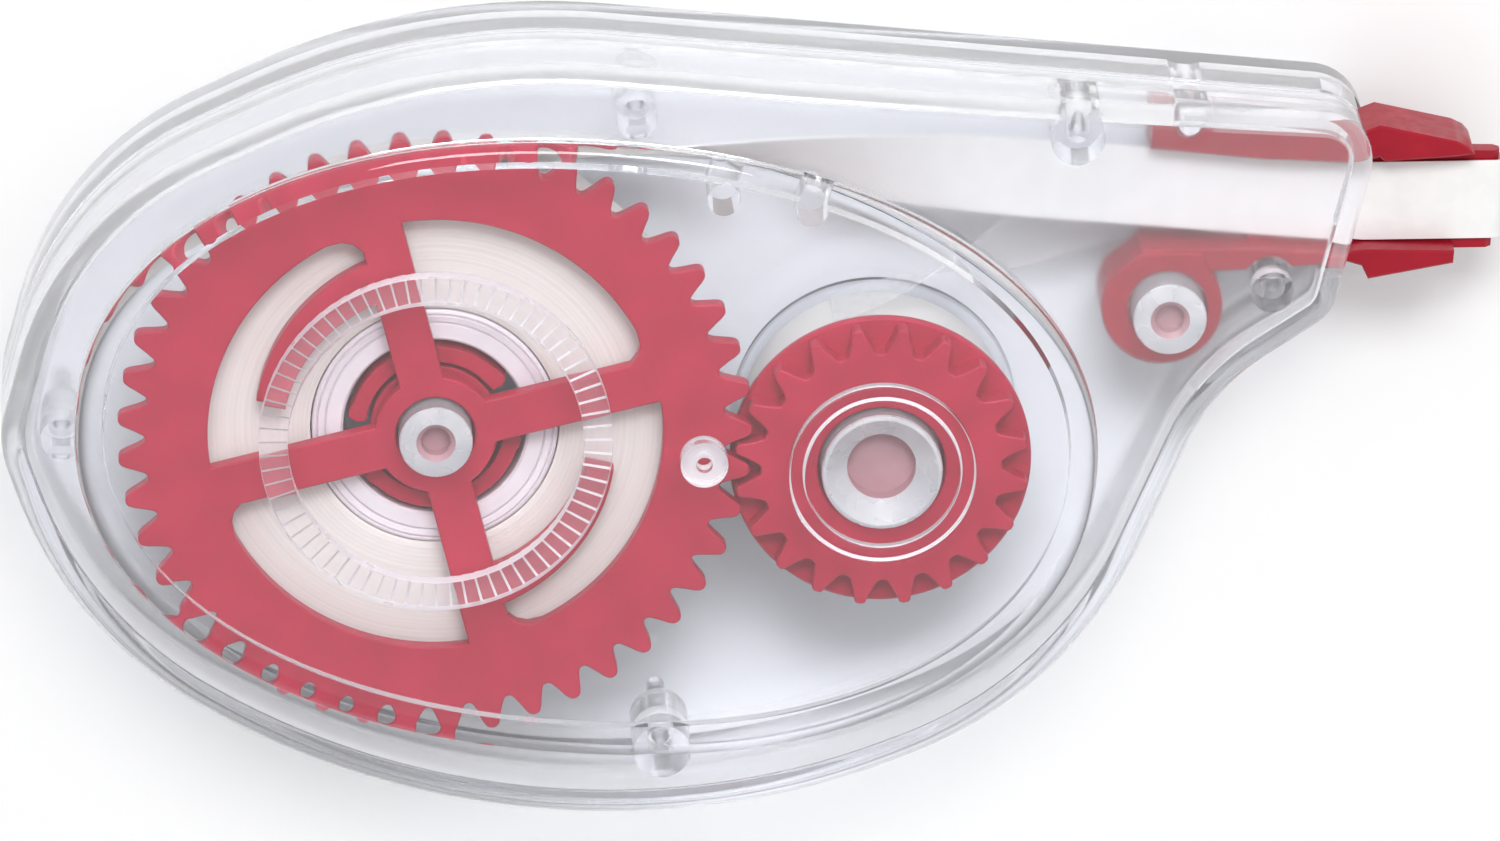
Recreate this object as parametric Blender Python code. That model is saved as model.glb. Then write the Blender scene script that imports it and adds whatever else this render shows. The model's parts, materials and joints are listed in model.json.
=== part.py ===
"""Correction tape roller: clear two-shell case, geared tape reels and a flat applicator tip.

Lengths are in millimetres here and become metres when a mesh is made. The case lies on its
back: +Z leaves the front face, +X points at the applicator tip. Plan positions are measured
from the supply reel axis; the finished assembly is centred on the origin at the end.
"""
import bmesh
import bpy
from math import acos, asin, atan2, cos, hypot, pi, radians, sin, tau
from mathutils import Vector
from mathutils.geometry import tessellate_polygon

MM = 0.001
FIT = 0.3                      # running gap between neighbouring pieces

# ---- case ----------------------------------------------------------------------------------
CASE_DEPTH = 13.8              # back face to flat front face
WALL = 1.4
BACK_FILLET = 1.1
FRONT_FILLET = 1.6
SPLIT_Z = 6.3                  # parting line, top of the rear shell's outer wall
LIP_STEP = 0.7                 # rear shell lip stands this far inside the outer wall
LIP_RISE = 1.0
CHORD = 2.3                    # facet length round the case outline
NECK_START, NECK_END = 20.0, 54.0
NECK_DROP = 2.4                # the front face sinks this much on its way to the mouth
# plan corners (x, y, fillet radius), anticlockwise from the top of the mouth end
CASE_CORNERS = (
    (58.0, 18.6, 3.4), (-0.6, 24.6, 41.6), (-22.7, 14.3, 20.0), (-26.7, -0.1, 6.9),
    (-22.6, -12.5, 26.0), (5.7, -30.5, 48.3), (38.9, -17.9, 24.7), (47.5, 1.4, 12.2),
    (54.8, 5.9, 2.6),
)
# raised oval window on the front face
WINDOW_CENTRE = (9.2, -0.75)
WINDOW_SEMI = (31.2, 19.8)
WINDOW_TURN = -5.2
WINDOW_POWER = 2.14
WINDOW_RISE = 1.2
RIM_WALL = 0.3                 # height of the window's steep outer edge, under its shoulder
SHOULDER = 1.1                 # plan width of the rounded shoulder
INNER_STEP = (1.72, 1.85)      # the inner wall of the window, from its foot to the pane
MOUTH_X = (50.0, 60.0)
MOUTH_Y = (8.2, 17.55)
MOUTH_Z = (3.0, 9.0)
PIN_R = 0.55                   # closing pins on the rear shell
PIN_RISE = 1.8                 # pin top above the parting line
SOCKET_RISE = 2.4              # end of the pin's socket above the parting line
# plan position and radius of the closing bosses under the front wall
BOSSES = (((12.3, 20.0), 1.25), ((39.0, 18.0), 1.65), ((13.7, -20.9), 1.8), ((51.0, 7.6), 1.3),
          ((-22.7, 0.0), 1.3))
STUDS = ((17.5, 15.2), (22.8, 14.4))    # short posts under the window that guide the tape
STUD_R = 1.0
STUD_FOOT = 9.0
TIP_PEG = (46.0, 18.3)         # stub beside the tip's upper arm
TIP_PEG_R = 1.0
TIP_PEG_TOP = 8.8
RETAINER = (16.3, -1.85)       # hollow boss that keeps the supply gear down
RETAINER_R = (0.5, 1.45)
RETAINER_FOOT = 12.2

# ---- gear train ----------------------------------------------------------------------------
SUPPLY_AXIS = (0.0, -0.27)
TAKEUP_AXIS = (27.15, -2.8)
SUPPLY_TEETH = 45
TAKEUP_TEETH = 20
SUPPLY_TIP, SUPPLY_ROOT = 19.3, 17.66
TAKEUP_TIP, TAKEUP_ROOT = 8.95, 7.35
SUPPLY_TOOTH_AT = 0.1          # direction of one tooth centre, degrees
GEAR_Z = (10.8, 11.9)
SPOKE_AT = 13.7
SPOKE_WIDTH = 2.7
WINDOW_OUT = 13.85             # outer radius of the openings between the spokes
WINDOW_IN = 3.7
PAWL_IN, PAWL_ROOT, PAWL_END = 9.3, 11.8, 11.1
PAWL_SWEEP = 64.0
SUPPLY_HUB = (2.42, 3.1)       # bore and outside radius
HUB_FOOT = 5.0
SPINDLE = (0.9, 2.25)
SPINDLE_TOP = 13.3
SPINDLE_BORE = (3.0, 14.0)     # the spindles are hollow from here up
TAKEUP_SPINDLE = (2.1, 3.7)
TAKEUP_SPINDLE_TOP = 12.9
TAKEUP_HUB = (3.9, 4.9)
TAKEUP_FLANGE = 9.2
TAKEUP_FLANGE_Z = (9.8, 10.5)
TAKEUP_FACE_Z = 12.0
COLLAR = (4.75, 5.7)           # collar under the window round the take-up gear
COLLAR_FOOT = 12.3

# ---- reels ---------------------------------------------------------------------------------
CORE = (5.6, 7.5)
CORE_Z = (4.8, 10.4)
SUPPLY_ROLL = (7.6, 16.8)
TAKEUP_ROLL = (5.0, 8.2)
TAPE_WIDTH = 5.0
ROLL_Z = 5.2
TAKEUP_ROLL_Z = 2.9
CLUTCH_Z = (8.6, 10.5)
REAR_FLANGE = (4.1, 8.8, 1.9, 2.6)
RATCHET = (9.0, 10.75)
RATCHET_Z = (12.45, 12.95)     # saw teeth, from their tips to their roots
RATCHET_TEETH = 72

# ---- applicator tip and tape ---------------------------------------------------------------
NECK_SLOPE = radians(-5.6)     # the tape runs down to the mouth, then level over the blade
LEVEL_X = 57.0
TIP_MID_Y = 11.95              # middle of the tape on the blade
TIP_POST = (44.75, 6.0)
TIP_END_X = 65.0
TIP_END_LEAN = 0.07            # the blade's end is a little out of square
BLADE_Z = (5.2, 6.4)
RAIL_Z = (3.7, 8.3)
TAPE_THICK = 0.12
FILM_KNEE_X = 47.0             # where the spent film turns away from the neck
TAPE_GAP = 0.25                # tape middle to the blade surface


# ------------------------------------------------------------------------------ plan curves
def polar(r, deg, centre=(0.0, 0.0)):
    return (centre[0] + r * cos(radians(deg)), centre[1] + r * sin(radians(deg)))


def arc(r, a0, a1, step=5.0, centre=(0.0, 0.0)):
    n = max(1, int(abs(a1 - a0) / step + 0.5))
    return [polar(r, a0 + (a1 - a0) * k / n, centre) for k in range(n + 1)]


def circle(r, centre=(0.0, 0.0), n=48):
    return [polar(r, 360.0 * k / n, centre) for k in range(n)]


def filleted(corners, step=6.0):
    """Closed polyline through (x, y, radius) corners with a tangent arc at each of them."""
    out = []
    n = len(corners)
    for i, (x, y, r) in enumerate(corners):
        p = Vector((x, y))
        a = (Vector(corners[i - 1][:2]) - p).normalized()
        b = (Vector(corners[(i + 1) % n][:2]) - p).normalized()
        half = a.angle(b) / 2
        mid = p + (a + b).normalized() * (r / sin(half))
        s = p + a * (r * cos(half) / sin(half)) - mid
        e = p + b * (r * cos(half) / sin(half)) - mid
        a0, a1 = atan2(s.y, s.x), atan2(e.y, e.x)
        turn = (a1 - a0 + pi) % tau - pi
        k = max(2, int(abs(turn) / radians(step)) + 1)
        out += [(mid.x + r * cos(a0 + turn * j / k), mid.y + r * sin(a0 + turn * j / k))
                for j in range(k + 1)]
    return out


def resampled(points, spacing):
    """Closed polyline cut into near-equal chords."""
    ring = points + [points[0]]
    total = sum(hypot(q[0] - p[0], q[1] - p[1]) for p, q in zip(ring, ring[1:]))
    n = int(total / spacing)
    out, want, run = [], 0.0, 0.0
    for p, q in zip(ring, ring[1:]):
        d = hypot(q[0] - p[0], q[1] - p[1])
        while want <= run + d - 1e-9 and len(out) < n:
            t = (want - run) / d if d else 0.0
            out.append((p[0] + (q[0] - p[0]) * t, p[1] + (q[1] - p[1]) * t))
            want += total / n
        run += d
    return out


def inset(points, d):
    """Move an anticlockwise loop inward by d along its vertex normals."""
    out = []
    n = len(points)
    for i, (x, y) in enumerate(points):
        tx = points[(i + 1) % n][0] - points[i - 1][0]
        ty = points[(i + 1) % n][1] - points[i - 1][1]
        length = hypot(tx, ty)
        out.append((x - ty / length * d, y + tx / length * d))
    return out


def oval(grow=0.0, n=80):
    """The window outline, grown outward by the given amount."""
    a, b = WINDOW_SEMI[0] + grow, WINDOW_SEMI[1] + grow
    turn = radians(WINDOW_TURN)
    out = []
    for k in range(n):
        t = tau * k / n
        u = a * abs(cos(t)) ** (2 / WINDOW_POWER) * (1 if cos(t) >= 0 else -1)
        v = b * abs(sin(t)) ** (2 / WINDOW_POWER) * (1 if sin(t) >= 0 else -1)
        out.append((WINDOW_CENTRE[0] + u * cos(turn) - v * sin(turn),
                    WINDOW_CENTRE[1] + u * sin(turn) + v * cos(turn)))
    return out


def face_drop(x):
    """How far the front face has sunk at plan position x."""
    t = min(max((x - NECK_START) / (NECK_END - NECK_START), 0.0), 1.15)
    return NECK_DROP * t ** 1.6


def front_inside(x, windowed=False):
    """Level of the front wall's inner surface."""
    return CASE_DEPTH - WALL - face_drop(x) + (WINDOW_RISE if windowed else 0.0)


# -------------------------------------------------------------------------------- meshes
def plastic(name, colour, rough, clear=0.0):
    mat = bpy.data.materials.new(name)
    mat.use_nodes = True
    shader = mat.node_tree.nodes["Principled BSDF"]
    shader.inputs["Base Color"].default_value = (*colour, 1.0)
    shader.inputs["Roughness"].default_value = rough
    shader.inputs["IOR"].default_value = 1.5
    shader.inputs["Transmission Weight"].default_value = clear
    return mat


def add_object(name, bm, material, at=(0.0, 0.0), smooth=30.0):
    """Turn a bmesh in millimetres into one object whose origin is at plan point `at`."""
    bmesh.ops.remove_doubles(bm, verts=bm.verts, dist=1e-5)
    bmesh.ops.recalc_face_normals(bm, faces=bm.faces)
    for v in bm.verts:
        v.co = Vector((v.co.x - at[0], v.co.y - at[1], v.co.z)) * MM
    mesh = bpy.data.meshes.new(name)
    bm.to_mesh(mesh)
    bm.free()
    mesh.polygons.foreach_set("use_smooth", [True] * len(mesh.polygons))
    mesh.set_sharp_from_angle(angle=radians(smooth))
    if material:
        mesh.materials.append(material)
    ob = bpy.data.objects.new(name, mesh)
    ob.location = (at[0] * MM, at[1] * MM, 0.0)
    bpy.context.scene.collection.objects.link(ob)
    return ob


def cap(bm, loops):
    """Flat triangulated cap over an outer loop of vertices and any loops of holes."""
    flat = [v for loop in loops for v in loop]
    for tri in tessellate_polygon([[Vector((v.co.x, v.co.y, 0.0)) for v in loop] for loop in loops]):
        bm.faces.new([flat[i] for i in tri])


def ring_verts(bm, points, z):
    return [bm.verts.new((x, y, z)) for x, y in points]


def bridge(bm, lower, upper):
    n = len(lower)
    for i in range(n):
        j = (i + 1) % n
        bm.faces.new((lower[i], lower[j], upper[j], upper[i]))


def add_prism(bm, loops, z0, z1):
    """Straight extrusion of an outer loop with optional holes."""
    low = [ring_verts(bm, pts, z0) for pts in loops]
    high = [ring_verts(bm, pts, z1) for pts in loops]
    for a, b in zip(low, high):
        bridge(bm, a, b)
    cap(bm, low)
    cap(bm, high)


def add_lathe(bm, profile, centre=(0.0, 0.0), n=48):
    """Closed tube from an (r, z) profile that never touches the axis."""
    rings = [ring_verts(bm, circle(r, centre, n), z) for r, z in profile]
    for a, b in zip(rings, rings[1:] + rings[:1]):
        bridge(bm, a, b)


def add_turned(bm, profile, centre, n=32):
    """Solid of revolution from (r, z) steps, flat at both ends."""
    rings = [ring_verts(bm, circle(r, centre, n), z) for r, z in profile]
    for a, b in zip(rings, rings[1:]):
        bridge(bm, a, b)
    cap(bm, [rings[0]])
    cap(bm, [rings[-1]])


def add_rod(bm, r, centre, z0, z1, n=32, tip=0.0):
    """Solid round post, its top edge broken by `tip`."""
    end = [(r, z1 - tip), (r - tip, z1)] if tip else [(r, z1)]
    add_turned(bm, [(r, z0)] + end, centre, n)


def add_loft(bm, rings):
    """Skin over successive loops with equal vertex counts, both ends capped."""
    loops = [ring_verts(bm, pts, z) for pts, z in rings]
    for a, b in zip(loops, loops[1:]):
        bridge(bm, a, b)
    cap(bm, [loops[0]])
    cap(bm, [loops[-1]])


def shift(bm, by):
    for v in bm.verts:
        v.co.x += by[0]
        v.co.y += by[1]


def tool(name, bm):
    """A hidden helper solid for a Boolean."""
    ob = add_object(name, bm, None)
    ob.hide_render = True
    ob.display_type = "WIRE"
    return ob


def boolean(ob, helper, operation):
    mod = ob.modifiers.new(helper.name, "BOOLEAN")
    mod.operation = operation
    mod.solver = "EXACT"
    mod.object = helper


# ---------------------------------------------------------------------------------- case
def quarter(radius, steps=4):
    """(inset, height) pairs round a quarter fillet, from the face to the wall."""
    return [(radius * (1 - sin(pi / 2 * k / steps)), radius * (1 - cos(pi / 2 * k / steps)))
            for k in range(steps + 1)]


def near_wall(at, r):
    """Whether a boss reaches the rear shell's lip."""
    lip = inset(resampled(filleted(CASE_CORNERS), CHORD), WALL)
    return min(hypot(at[0] - x, at[1] - y) for x, y in lip) < r + 2 * FIT


def mouth_block(bm):
    """Block that opens the case at its mouth."""
    (x0, x1), (y0, y1) = MOUTH_X, MOUTH_Y
    add_prism(bm, [[(x0, y0), (x1, y0), (x1, y1), (x0, y1)]], *MOUTH_Z)


def make_rear_shell(material):
    outline = resampled(filleted(CASE_CORNERS), CHORD)
    inner = inset(outline, WALL)
    rings = [(inset(outline, i), z) for i, z in quarter(BACK_FILLET)]
    rings.append((outline, SPLIT_Z))
    rings.append((inset(outline, LIP_STEP), SPLIT_Z))
    rings.append((inset(outline, LIP_STEP), SPLIT_Z + LIP_RISE))
    rings.append((inner, SPLIT_Z + LIP_RISE))
    rings.append((inner, WALL + 0.5))
    rings.append((inset(inner, 0.5), WALL))
    bm = bmesh.new()
    add_loft(bm, rings)
    shell = add_object("rear_shell", bm, material)

    bm = bmesh.new()
    floor = WALL - 0.5
    add_rod(bm, SPINDLE[1], SUPPLY_AXIS, floor, SPINDLE_TOP, tip=0.15)
    add_rod(bm, TAKEUP_SPINDLE[1], TAKEUP_AXIS, floor, TAKEUP_SPINDLE_TOP, n=40, tip=0.2)
    add_rod(bm, SPINDLE[1], TIP_POST, floor, front_inside(TIP_POST[0]) - FIT, tip=0.15)
    add_rod(bm, TIP_PEG_R, TIP_PEG, floor, SPLIT_Z - 0.1, n=20)
    for at, r in BOSSES:
        add_rod(bm, PIN_R, at, floor, SPLIT_Z + PIN_RISE, n=16, tip=0.15)
    boolean(shell, tool("rear_posts", bm), "UNION")

    bm = bmesh.new()
    add_rod(bm, SPINDLE[0], SUPPLY_AXIS, *SPINDLE_BORE, n=24)
    add_rod(bm, TAKEUP_SPINDLE[0], TAKEUP_AXIS, *SPINDLE_BORE)
    add_rod(bm, SPINDLE[0], TIP_POST, *SPINDLE_BORE, n=24)
    add_rod(bm, TIP_PEG_R + FIT, TIP_PEG, SPLIT_Z, 8.0, n=20)
    for at, r in BOSSES:
        if near_wall(at, r):
            add_lathe(bm, [(PIN_R + FIT, SPLIT_Z), (r + FIT, SPLIT_Z), (r + FIT, 8.0),
                           (PIN_R + FIT, 8.0)], at, 20)
    mouth_block(bm)
    boolean(shell, tool("rear_bores", bm), "DIFFERENCE")
    return shell


def outer_rim(steps=4):
    """(inset, rise) pairs up the window's outer edge: a steep wall, then a rounded shoulder."""
    turns = [pi / 2 * k / steps for k in range(steps + 1)]
    draft = 0.06
    return [(0.0, 0.0)] + [(draft + (SHOULDER - draft) * (1 - cos(a)),
                            RIM_WALL + (WINDOW_RISE - RIM_WALL) * sin(a)) for a in turns]


def inner_rim():
    """(inset, rise) pairs up the window's inner edge, a steep step."""
    foot, pane = INNER_STEP
    return [(foot, 0.0), (pane, WINDOW_RISE)]


def sink_front(bm):
    """Bend the front wall down towards the mouth."""
    for k in range(8):
        x = NECK_START + (NECK_END + 3.0 - NECK_START) * k / 7
        geom = bm.verts[:] + bm.edges[:] + bm.faces[:]
        bmesh.ops.bisect_plane(bm, geom=geom, plane_co=(x, 0, 0), plane_no=(1, 0, 0), dist=1e-5)
    base = SPLIT_Z + LIP_RISE + 2 * FIT
    for v in bm.verts:
        if v.co.z > base:
            v.co.z -= face_drop(v.co.x) * min(1.0, (v.co.z - base) / (CASE_DEPTH - WALL - base))


def make_front_shell(material):
    outline = resampled(filleted(CASE_CORNERS), CHORD)
    inner = inset(outline, WALL)
    lip = LIP_STEP - FIT
    low = SPLIT_Z + FIT
    bm = bmesh.new()
    outer_rings = [(inset(outline, i), CASE_DEPTH - z) for i, z in quarter(FRONT_FILLET)]
    outer_rings.append((outline, low))
    outer_rings.append((inset(outline, lip), low))
    outer_rings.append((inset(outline, lip), low + LIP_RISE + FIT))
    outer_rings.append((inner, low + LIP_RISE + FIT))
    outer_rings.append((inner, CASE_DEPTH - WALL - 0.5))
    outer_rings.append((inset(inner, 0.5), CASE_DEPTH - WALL))
    loops = [ring_verts(bm, pts, z) for pts, z in outer_rings]
    for a, b in zip(loops, loops[1:]):
        bridge(bm, a, b)
    skins = ((loops[0], CASE_DEPTH, outer_rim()), (loops[-1], CASE_DEPTH - WALL, inner_rim()))
    for edge_loop, level, profile in skins:
        rim = [ring_verts(bm, oval(-i), level + z) for i, z in profile]
        for a, b in zip(rim, rim[1:]):
            bridge(bm, a, b)
        cap(bm, [edge_loop, rim[0]])
        cap(bm, [rim[-1]])
    sink_front(bm)
    shell = add_object("front_shell", bm, material)

    bm = bmesh.new()
    pane = front_inside(0.0, True)
    add_ratchet(bm, pane)
    shift(bm, SUPPLY_AXIS)
    pane_there = front_inside(TAKEUP_AXIS[0], True)
    for radii, foot, top, at, n in ((COLLAR, COLLAR_FOOT, pane_there, TAKEUP_AXIS, 56),
                                    (RETAINER_R, RETAINER_FOOT, pane, RETAINER, 24)):
        inside, outside = radii
        add_lathe(bm, [(inside, top + 0.4), (inside, foot), (outside, foot), (outside, top + 0.4)],
                  at, n)
    for at in STUDS:
        add_rod(bm, STUD_R, at, STUD_FOOT, front_inside(at[0], True) + 0.3, n=20)
    add_rod(bm, TIP_PEG_R, TIP_PEG, SPLIT_Z + FIT, TIP_PEG_TOP, n=20)
    for at, r in BOSSES:
        socket, deep = PIN_R + FIT * 0.8, SPLIT_Z + SOCKET_RISE
        top = front_inside(at[0]) + 0.4
        add_turned(bm, [(socket, deep), (socket, SPLIT_Z + FIT), (r, SPLIT_Z + FIT), (r, top)],
                   at, 20)
    boolean(shell, tool("front_posts", bm), "UNION")

    bm = bmesh.new()
    mouth_block(bm)
    boolean(shell, tool("front_mouth", bm), "DIFFERENCE")
    return shell


def add_ratchet(bm, pane):
    """Face ratchet: a ring of saw teeth hanging under the window."""
    top, (low, high) = pane + 0.4, RATCHET_Z
    count = RATCHET_TEETH

    def station(r, k, z):
        return bm.verts.new((*polar(r, 360.0 * k / count), z))

    tops = {r: [station(r, k, top) for k in range(count)] for r in RATCHET}
    highs = {r: [station(r, k, high) for k in range(count)] for r in RATCHET}
    lows = {r: [station(r, k, low) for k in range(count)] for r in RATCHET}
    a, b = RATCHET
    for k in range(count):
        j = (k + 1) % count
        for r in RATCHET:
            bm.faces.new((tops[r][k], tops[r][j], highs[r][j], lows[r][k], highs[r][k]))
        bm.faces.new((lows[a][k], lows[b][k], highs[b][j], highs[a][j]))
        bm.faces.new((lows[a][k], lows[b][k], highs[b][k], highs[a][k]))
        bm.faces.new((tops[a][k], tops[b][k], tops[b][j], tops[a][j]))


# --------------------------------------------------------------------------------- gears
def toothed(count, flank, first):
    """Gear outline: flank is (radius, half width as a share of the pitch), root to tip."""
    pitch = 360.0 / count
    half = flank + [(r, -s) for r, s in reversed(flank) if s > 0]
    return [polar(r, first + pitch * (k - s)) for k in range(count) for r, s in half]


def supply_outline():
    root, tip = SUPPLY_ROOT, SUPPLY_TIP
    flank = [(root, 0.45), (root + 0.22, 0.37), (root + 0.75, 0.26), (root + 1.2, 0.19),
             (tip - 0.1, 0.12), (tip, 0.0)]
    return toothed(SUPPLY_TEETH, flank, SUPPLY_TOOTH_AT)


def takeup_outline():
    root, tip = TAKEUP_ROOT, TAKEUP_TIP
    flank = [(root, 0.39), (root + 0.25, 0.32), (root + 0.8, 0.21), (tip - 0.12, 0.12),
             (tip, 0.06)]
    return toothed(TAKEUP_TEETH, flank, meshed_tooth())


def meshed_tooth():
    """Direction of a take-up tooth that leaves a gap where the supply tooth comes in."""
    dx, dy = TAKEUP_AXIS[0] - SUPPLY_AXIS[0], TAKEUP_AXIS[1] - SUPPLY_AXIS[1]
    line = atan2(dy, dx) * 180 / pi
    pitch = 360.0 / SUPPLY_TEETH
    off = (SUPPLY_TOOTH_AT - line + pitch / 2) % pitch - pitch / 2
    gap = line + 180.0 - off * SUPPLY_TEETH / TAKEUP_TEETH
    return gap + 180.0 / TAKEUP_TEETH


def spoke_window(start, end, pawl):
    """Opening between two spokes; with a pawl, its arm is left standing in the opening."""
    half = SPOKE_WIDTH / 2

    def edge(r, spoke, side):
        return spoke + side * (180 / pi) * asin(half / r)

    s_in, s_out = edge(WINDOW_IN, start, 1), edge(WINDOW_OUT, start, 1)
    e_in, e_out = edge(WINDOW_IN, end, -1), edge(WINDOW_OUT, end, -1)
    loop = []
    if pawl:
        loop += [polar(PAWL_ROOT, edge(PAWL_ROOT, start, 1))]
    else:
        loop += [polar(WINDOW_IN, s_in)]
    loop += [polar(WINDOW_OUT - 2.0, edge(WINDOW_OUT - 2.0, start, 1)),
             polar(WINDOW_OUT - 0.75, s_out + 2.0), polar(WINDOW_OUT - 0.15, s_out + 5.2)]
    loop += arc(WINDOW_OUT, s_out + 8.5, e_out)
    loop += [polar(WINDOW_IN, e_in)]
    if not pawl:
        loop += arc(WINDOW_IN, e_in, s_in, 12.0)[1:-1]
    else:
        loop += arc(WINDOW_IN, e_in, s_in, 12.0)[1:]
        root = edge(PAWL_IN, start, 1)
        loop += arc(PAWL_IN, root, start + PAWL_SWEEP)
        n = 12
        for k in range(n):
            t = k / n
            r = PAWL_END + (PAWL_ROOT - PAWL_END) * t
            loop.append(polar(r, start + PAWL_SWEEP * (1 - t) + edge(PAWL_ROOT, start, 1) * t
                              - start * t))
    return loop


def make_supply_gear(material):
    bm = bmesh.new()
    windows = [spoke_window(SPOKE_AT + 90 * k, SPOKE_AT + 90 * (k + 1), k in (1, 3))
               for k in range(4)]
    add_prism(bm, [supply_outline()] + windows + [circle(SUPPLY_HUB[0], n=32)], *GEAR_Z)
    shift(bm, SUPPLY_AXIS)
    gear = add_object("supply_gear", bm, material, SUPPLY_AXIS)

    bm = bmesh.new()
    bore, outside = SUPPLY_HUB
    inside_web = GEAR_Z[0] + 0.2
    add_lathe(bm, [(bore, HUB_FOOT), (outside, HUB_FOOT), (outside, inside_web), (bore, inside_web)],
              n=32)
    for k in (1, 3):
        end = SPOKE_AT + 90 * k + PAWL_SWEEP
        inner, outer = PAWL_IN + 0.25, PAWL_END - 0.25
        pad = arc(inner, end - 6.0, end - 1.0) + arc(outer, end - 1.0, end - 6.0)
        add_prism(bm, [pad], GEAR_Z[1] - 0.3, GEAR_Z[1] + 0.25)
    shift(bm, SUPPLY_AXIS)
    boolean(gear, tool("supply_hub", bm), "UNION")
    return gear


def make_takeup_gear(material):
    bm = bmesh.new()
    add_prism(bm, [takeup_outline(), circle(TAKEUP_HUB[0], n=60)], TAKEUP_FLANGE_Z[1] - 0.2,
              TAKEUP_FACE_Z)
    shift(bm, TAKEUP_AXIS)
    gear = add_object("takeup_gear", bm, material, TAKEUP_AXIS)

    bm = bmesh.new()
    bore, outside = TAKEUP_HUB
    low, high = TAKEUP_FLANGE_Z
    add_lathe(bm, [(bore, TAKEUP_ROLL_Z - 0.2), (outside, TAKEUP_ROLL_Z - 0.2), (outside, low),
                   (TAKEUP_FLANGE, low), (TAKEUP_FLANGE, high), (bore, high)],
              TAKEUP_AXIS, 60)
    boolean(gear, tool("takeup_hub", bm), "UNION")
    return gear


def make_clutch(material):
    """Slipping clutch: a ring with four spring arms that rub inside the reel core."""
    ring, arm_in, arm_out = 3.95, 4.2, 5.2
    spoke = SPOKE_AT + 90
    loop = []
    for base, sign in ((spoke, -1), (spoke, 1), (spoke + 180, -1), (spoke + 180, 1)):
        sweep = arc(arm_out, 0, 58, 6.0) + [polar(arm_out + 0.12, 62), polar(arm_out + 0.12, 68),
                                          polar(arm_out - 0.25, 71), polar(arm_in + 0.1, 71)]
        sweep += arc(arm_in, 68, 16, 6.0) + arc(ring, 16, 90, 9.0)
        turned = []
        for x, y in sweep:
            r, a = hypot(x, y), atan2(y, x) * 180 / pi
            turned.append(polar(r, base + sign * a))
        if sign < 0:
            turned.reverse()
        loop += turned[:-1] if sign < 0 else turned[1:-1]
    bm = bmesh.new()
    add_prism(bm, [loop, circle(SUPPLY_HUB[1] + FIT, n=32)], *CLUTCH_Z)
    shift(bm, SUPPLY_AXIS)
    return add_object("clutch_spring_ring", bm, material, SUPPLY_AXIS)


# --------------------------------------------------------------------------------- reels
def make_tube(name, material, radii, z0, z1, axis, n=60, edge=0.15):
    r0, r1 = radii
    bm = bmesh.new()
    add_lathe(bm, [(r0, z0), (r1 - edge, z0), (r1, z0 + edge), (r1, z1 - edge),
                   (r1 - edge, z1), (r0, z1)], axis, n)
    return add_object(name, bm, material, axis)


# ------------------------------------------------------------------------- tip and tape
def neck_point(x, across):
    """Plan point `across` above the tape's middle line at position x."""
    if x >= LEVEL_X:
        return (x, TIP_MID_Y + across)
    y = TIP_MID_Y + (x - LEVEL_X) * sin(NECK_SLOPE) / cos(NECK_SLOPE)
    return (x - across * sin(NECK_SLOPE), y + across * cos(NECK_SLOPE))


def make_tip(material):
    """Applicator tip: a thin blade between two guide rails, and an eye round its post."""
    lean = TIP_END_LEAN
    bm = bmesh.new()
    blade = [neck_point(50.0, -3.6), (57.0, 8.75), (TIP_END_X - 3.2 * lean, 8.75),
             (TIP_END_X + 3.0 * lean, 15.0), (57.5, 15.2), neck_point(50.0, 3.6)]
    edge = 0.35
    nose = [(x - edge if x > 60 else x, y) for x, y in blade]
    add_loft(bm, [(nose, BLADE_Z[0]), (blade, BLADE_Z[0] + edge), (blade, BLADE_Z[1] - edge),
                  (nose, BLADE_Z[1])])
    tip = add_object("applicator_tip", bm, material)

    upper = [neck_point(43.3, 2.95), neck_point(50.0, 2.85), neck_point(56.6, 3.1),
             (57.7, 15.3), (58.0, 15.0), (62.2, 15.25), (63.5, 15.4), (63.1, 15.9),
             (62.4, 16.25), (57.7, 17.35), (56.8, 17.0), neck_point(43.3, 4.55)]
    lower = [neck_point(43.5, -3.6), neck_point(44.5, -5.0), neck_point(49.5, -4.4),
             (55.6, 8.65), (56.7, 8.3), (57.1, 7.45), (62.3, 8.4), (62.35, 9.2), (57.0, 9.35),
             neck_point(56.0, -2.8), neck_point(49.5, -2.95)]
    for name, plan in (("upper_rail", upper), ("lower_rail", lower)):
        bm = bmesh.new()
        add_prism(bm, [plan], *RAIL_Z)
        boolean(tip, tool(name, bm), "UNION")
    bm = bmesh.new()
    eye = arc(3.7, 150, 395, 10.0, (TIP_POST[0] - 0.35, TIP_POST[1] + 0.1))
    eye += [neck_point(47.2, -3.4), neck_point(43.6, -3.7)]
    add_prism(bm, [eye], RAIL_Z[0] + 0.4, RAIL_Z[1] + 0.2)
    boolean(tip, tool("tip_eye", bm), "UNION")
    bm = bmesh.new()
    add_rod(bm, SPINDLE[1] + 0.2, TIP_POST, 2.0, 12.0, n=32)
    add_rod(bm, TIP_PEG_R + FIT, TIP_PEG, 2.0, 12.0, n=24)
    for at, r in BOSSES:
        if at[0] > 40.0:
            add_rod(bm, r + FIT, at, 2.0, 12.0, n=24)
    boolean(tip, tool("tip_holes", bm), "DIFFERENCE")
    return tip


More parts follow.
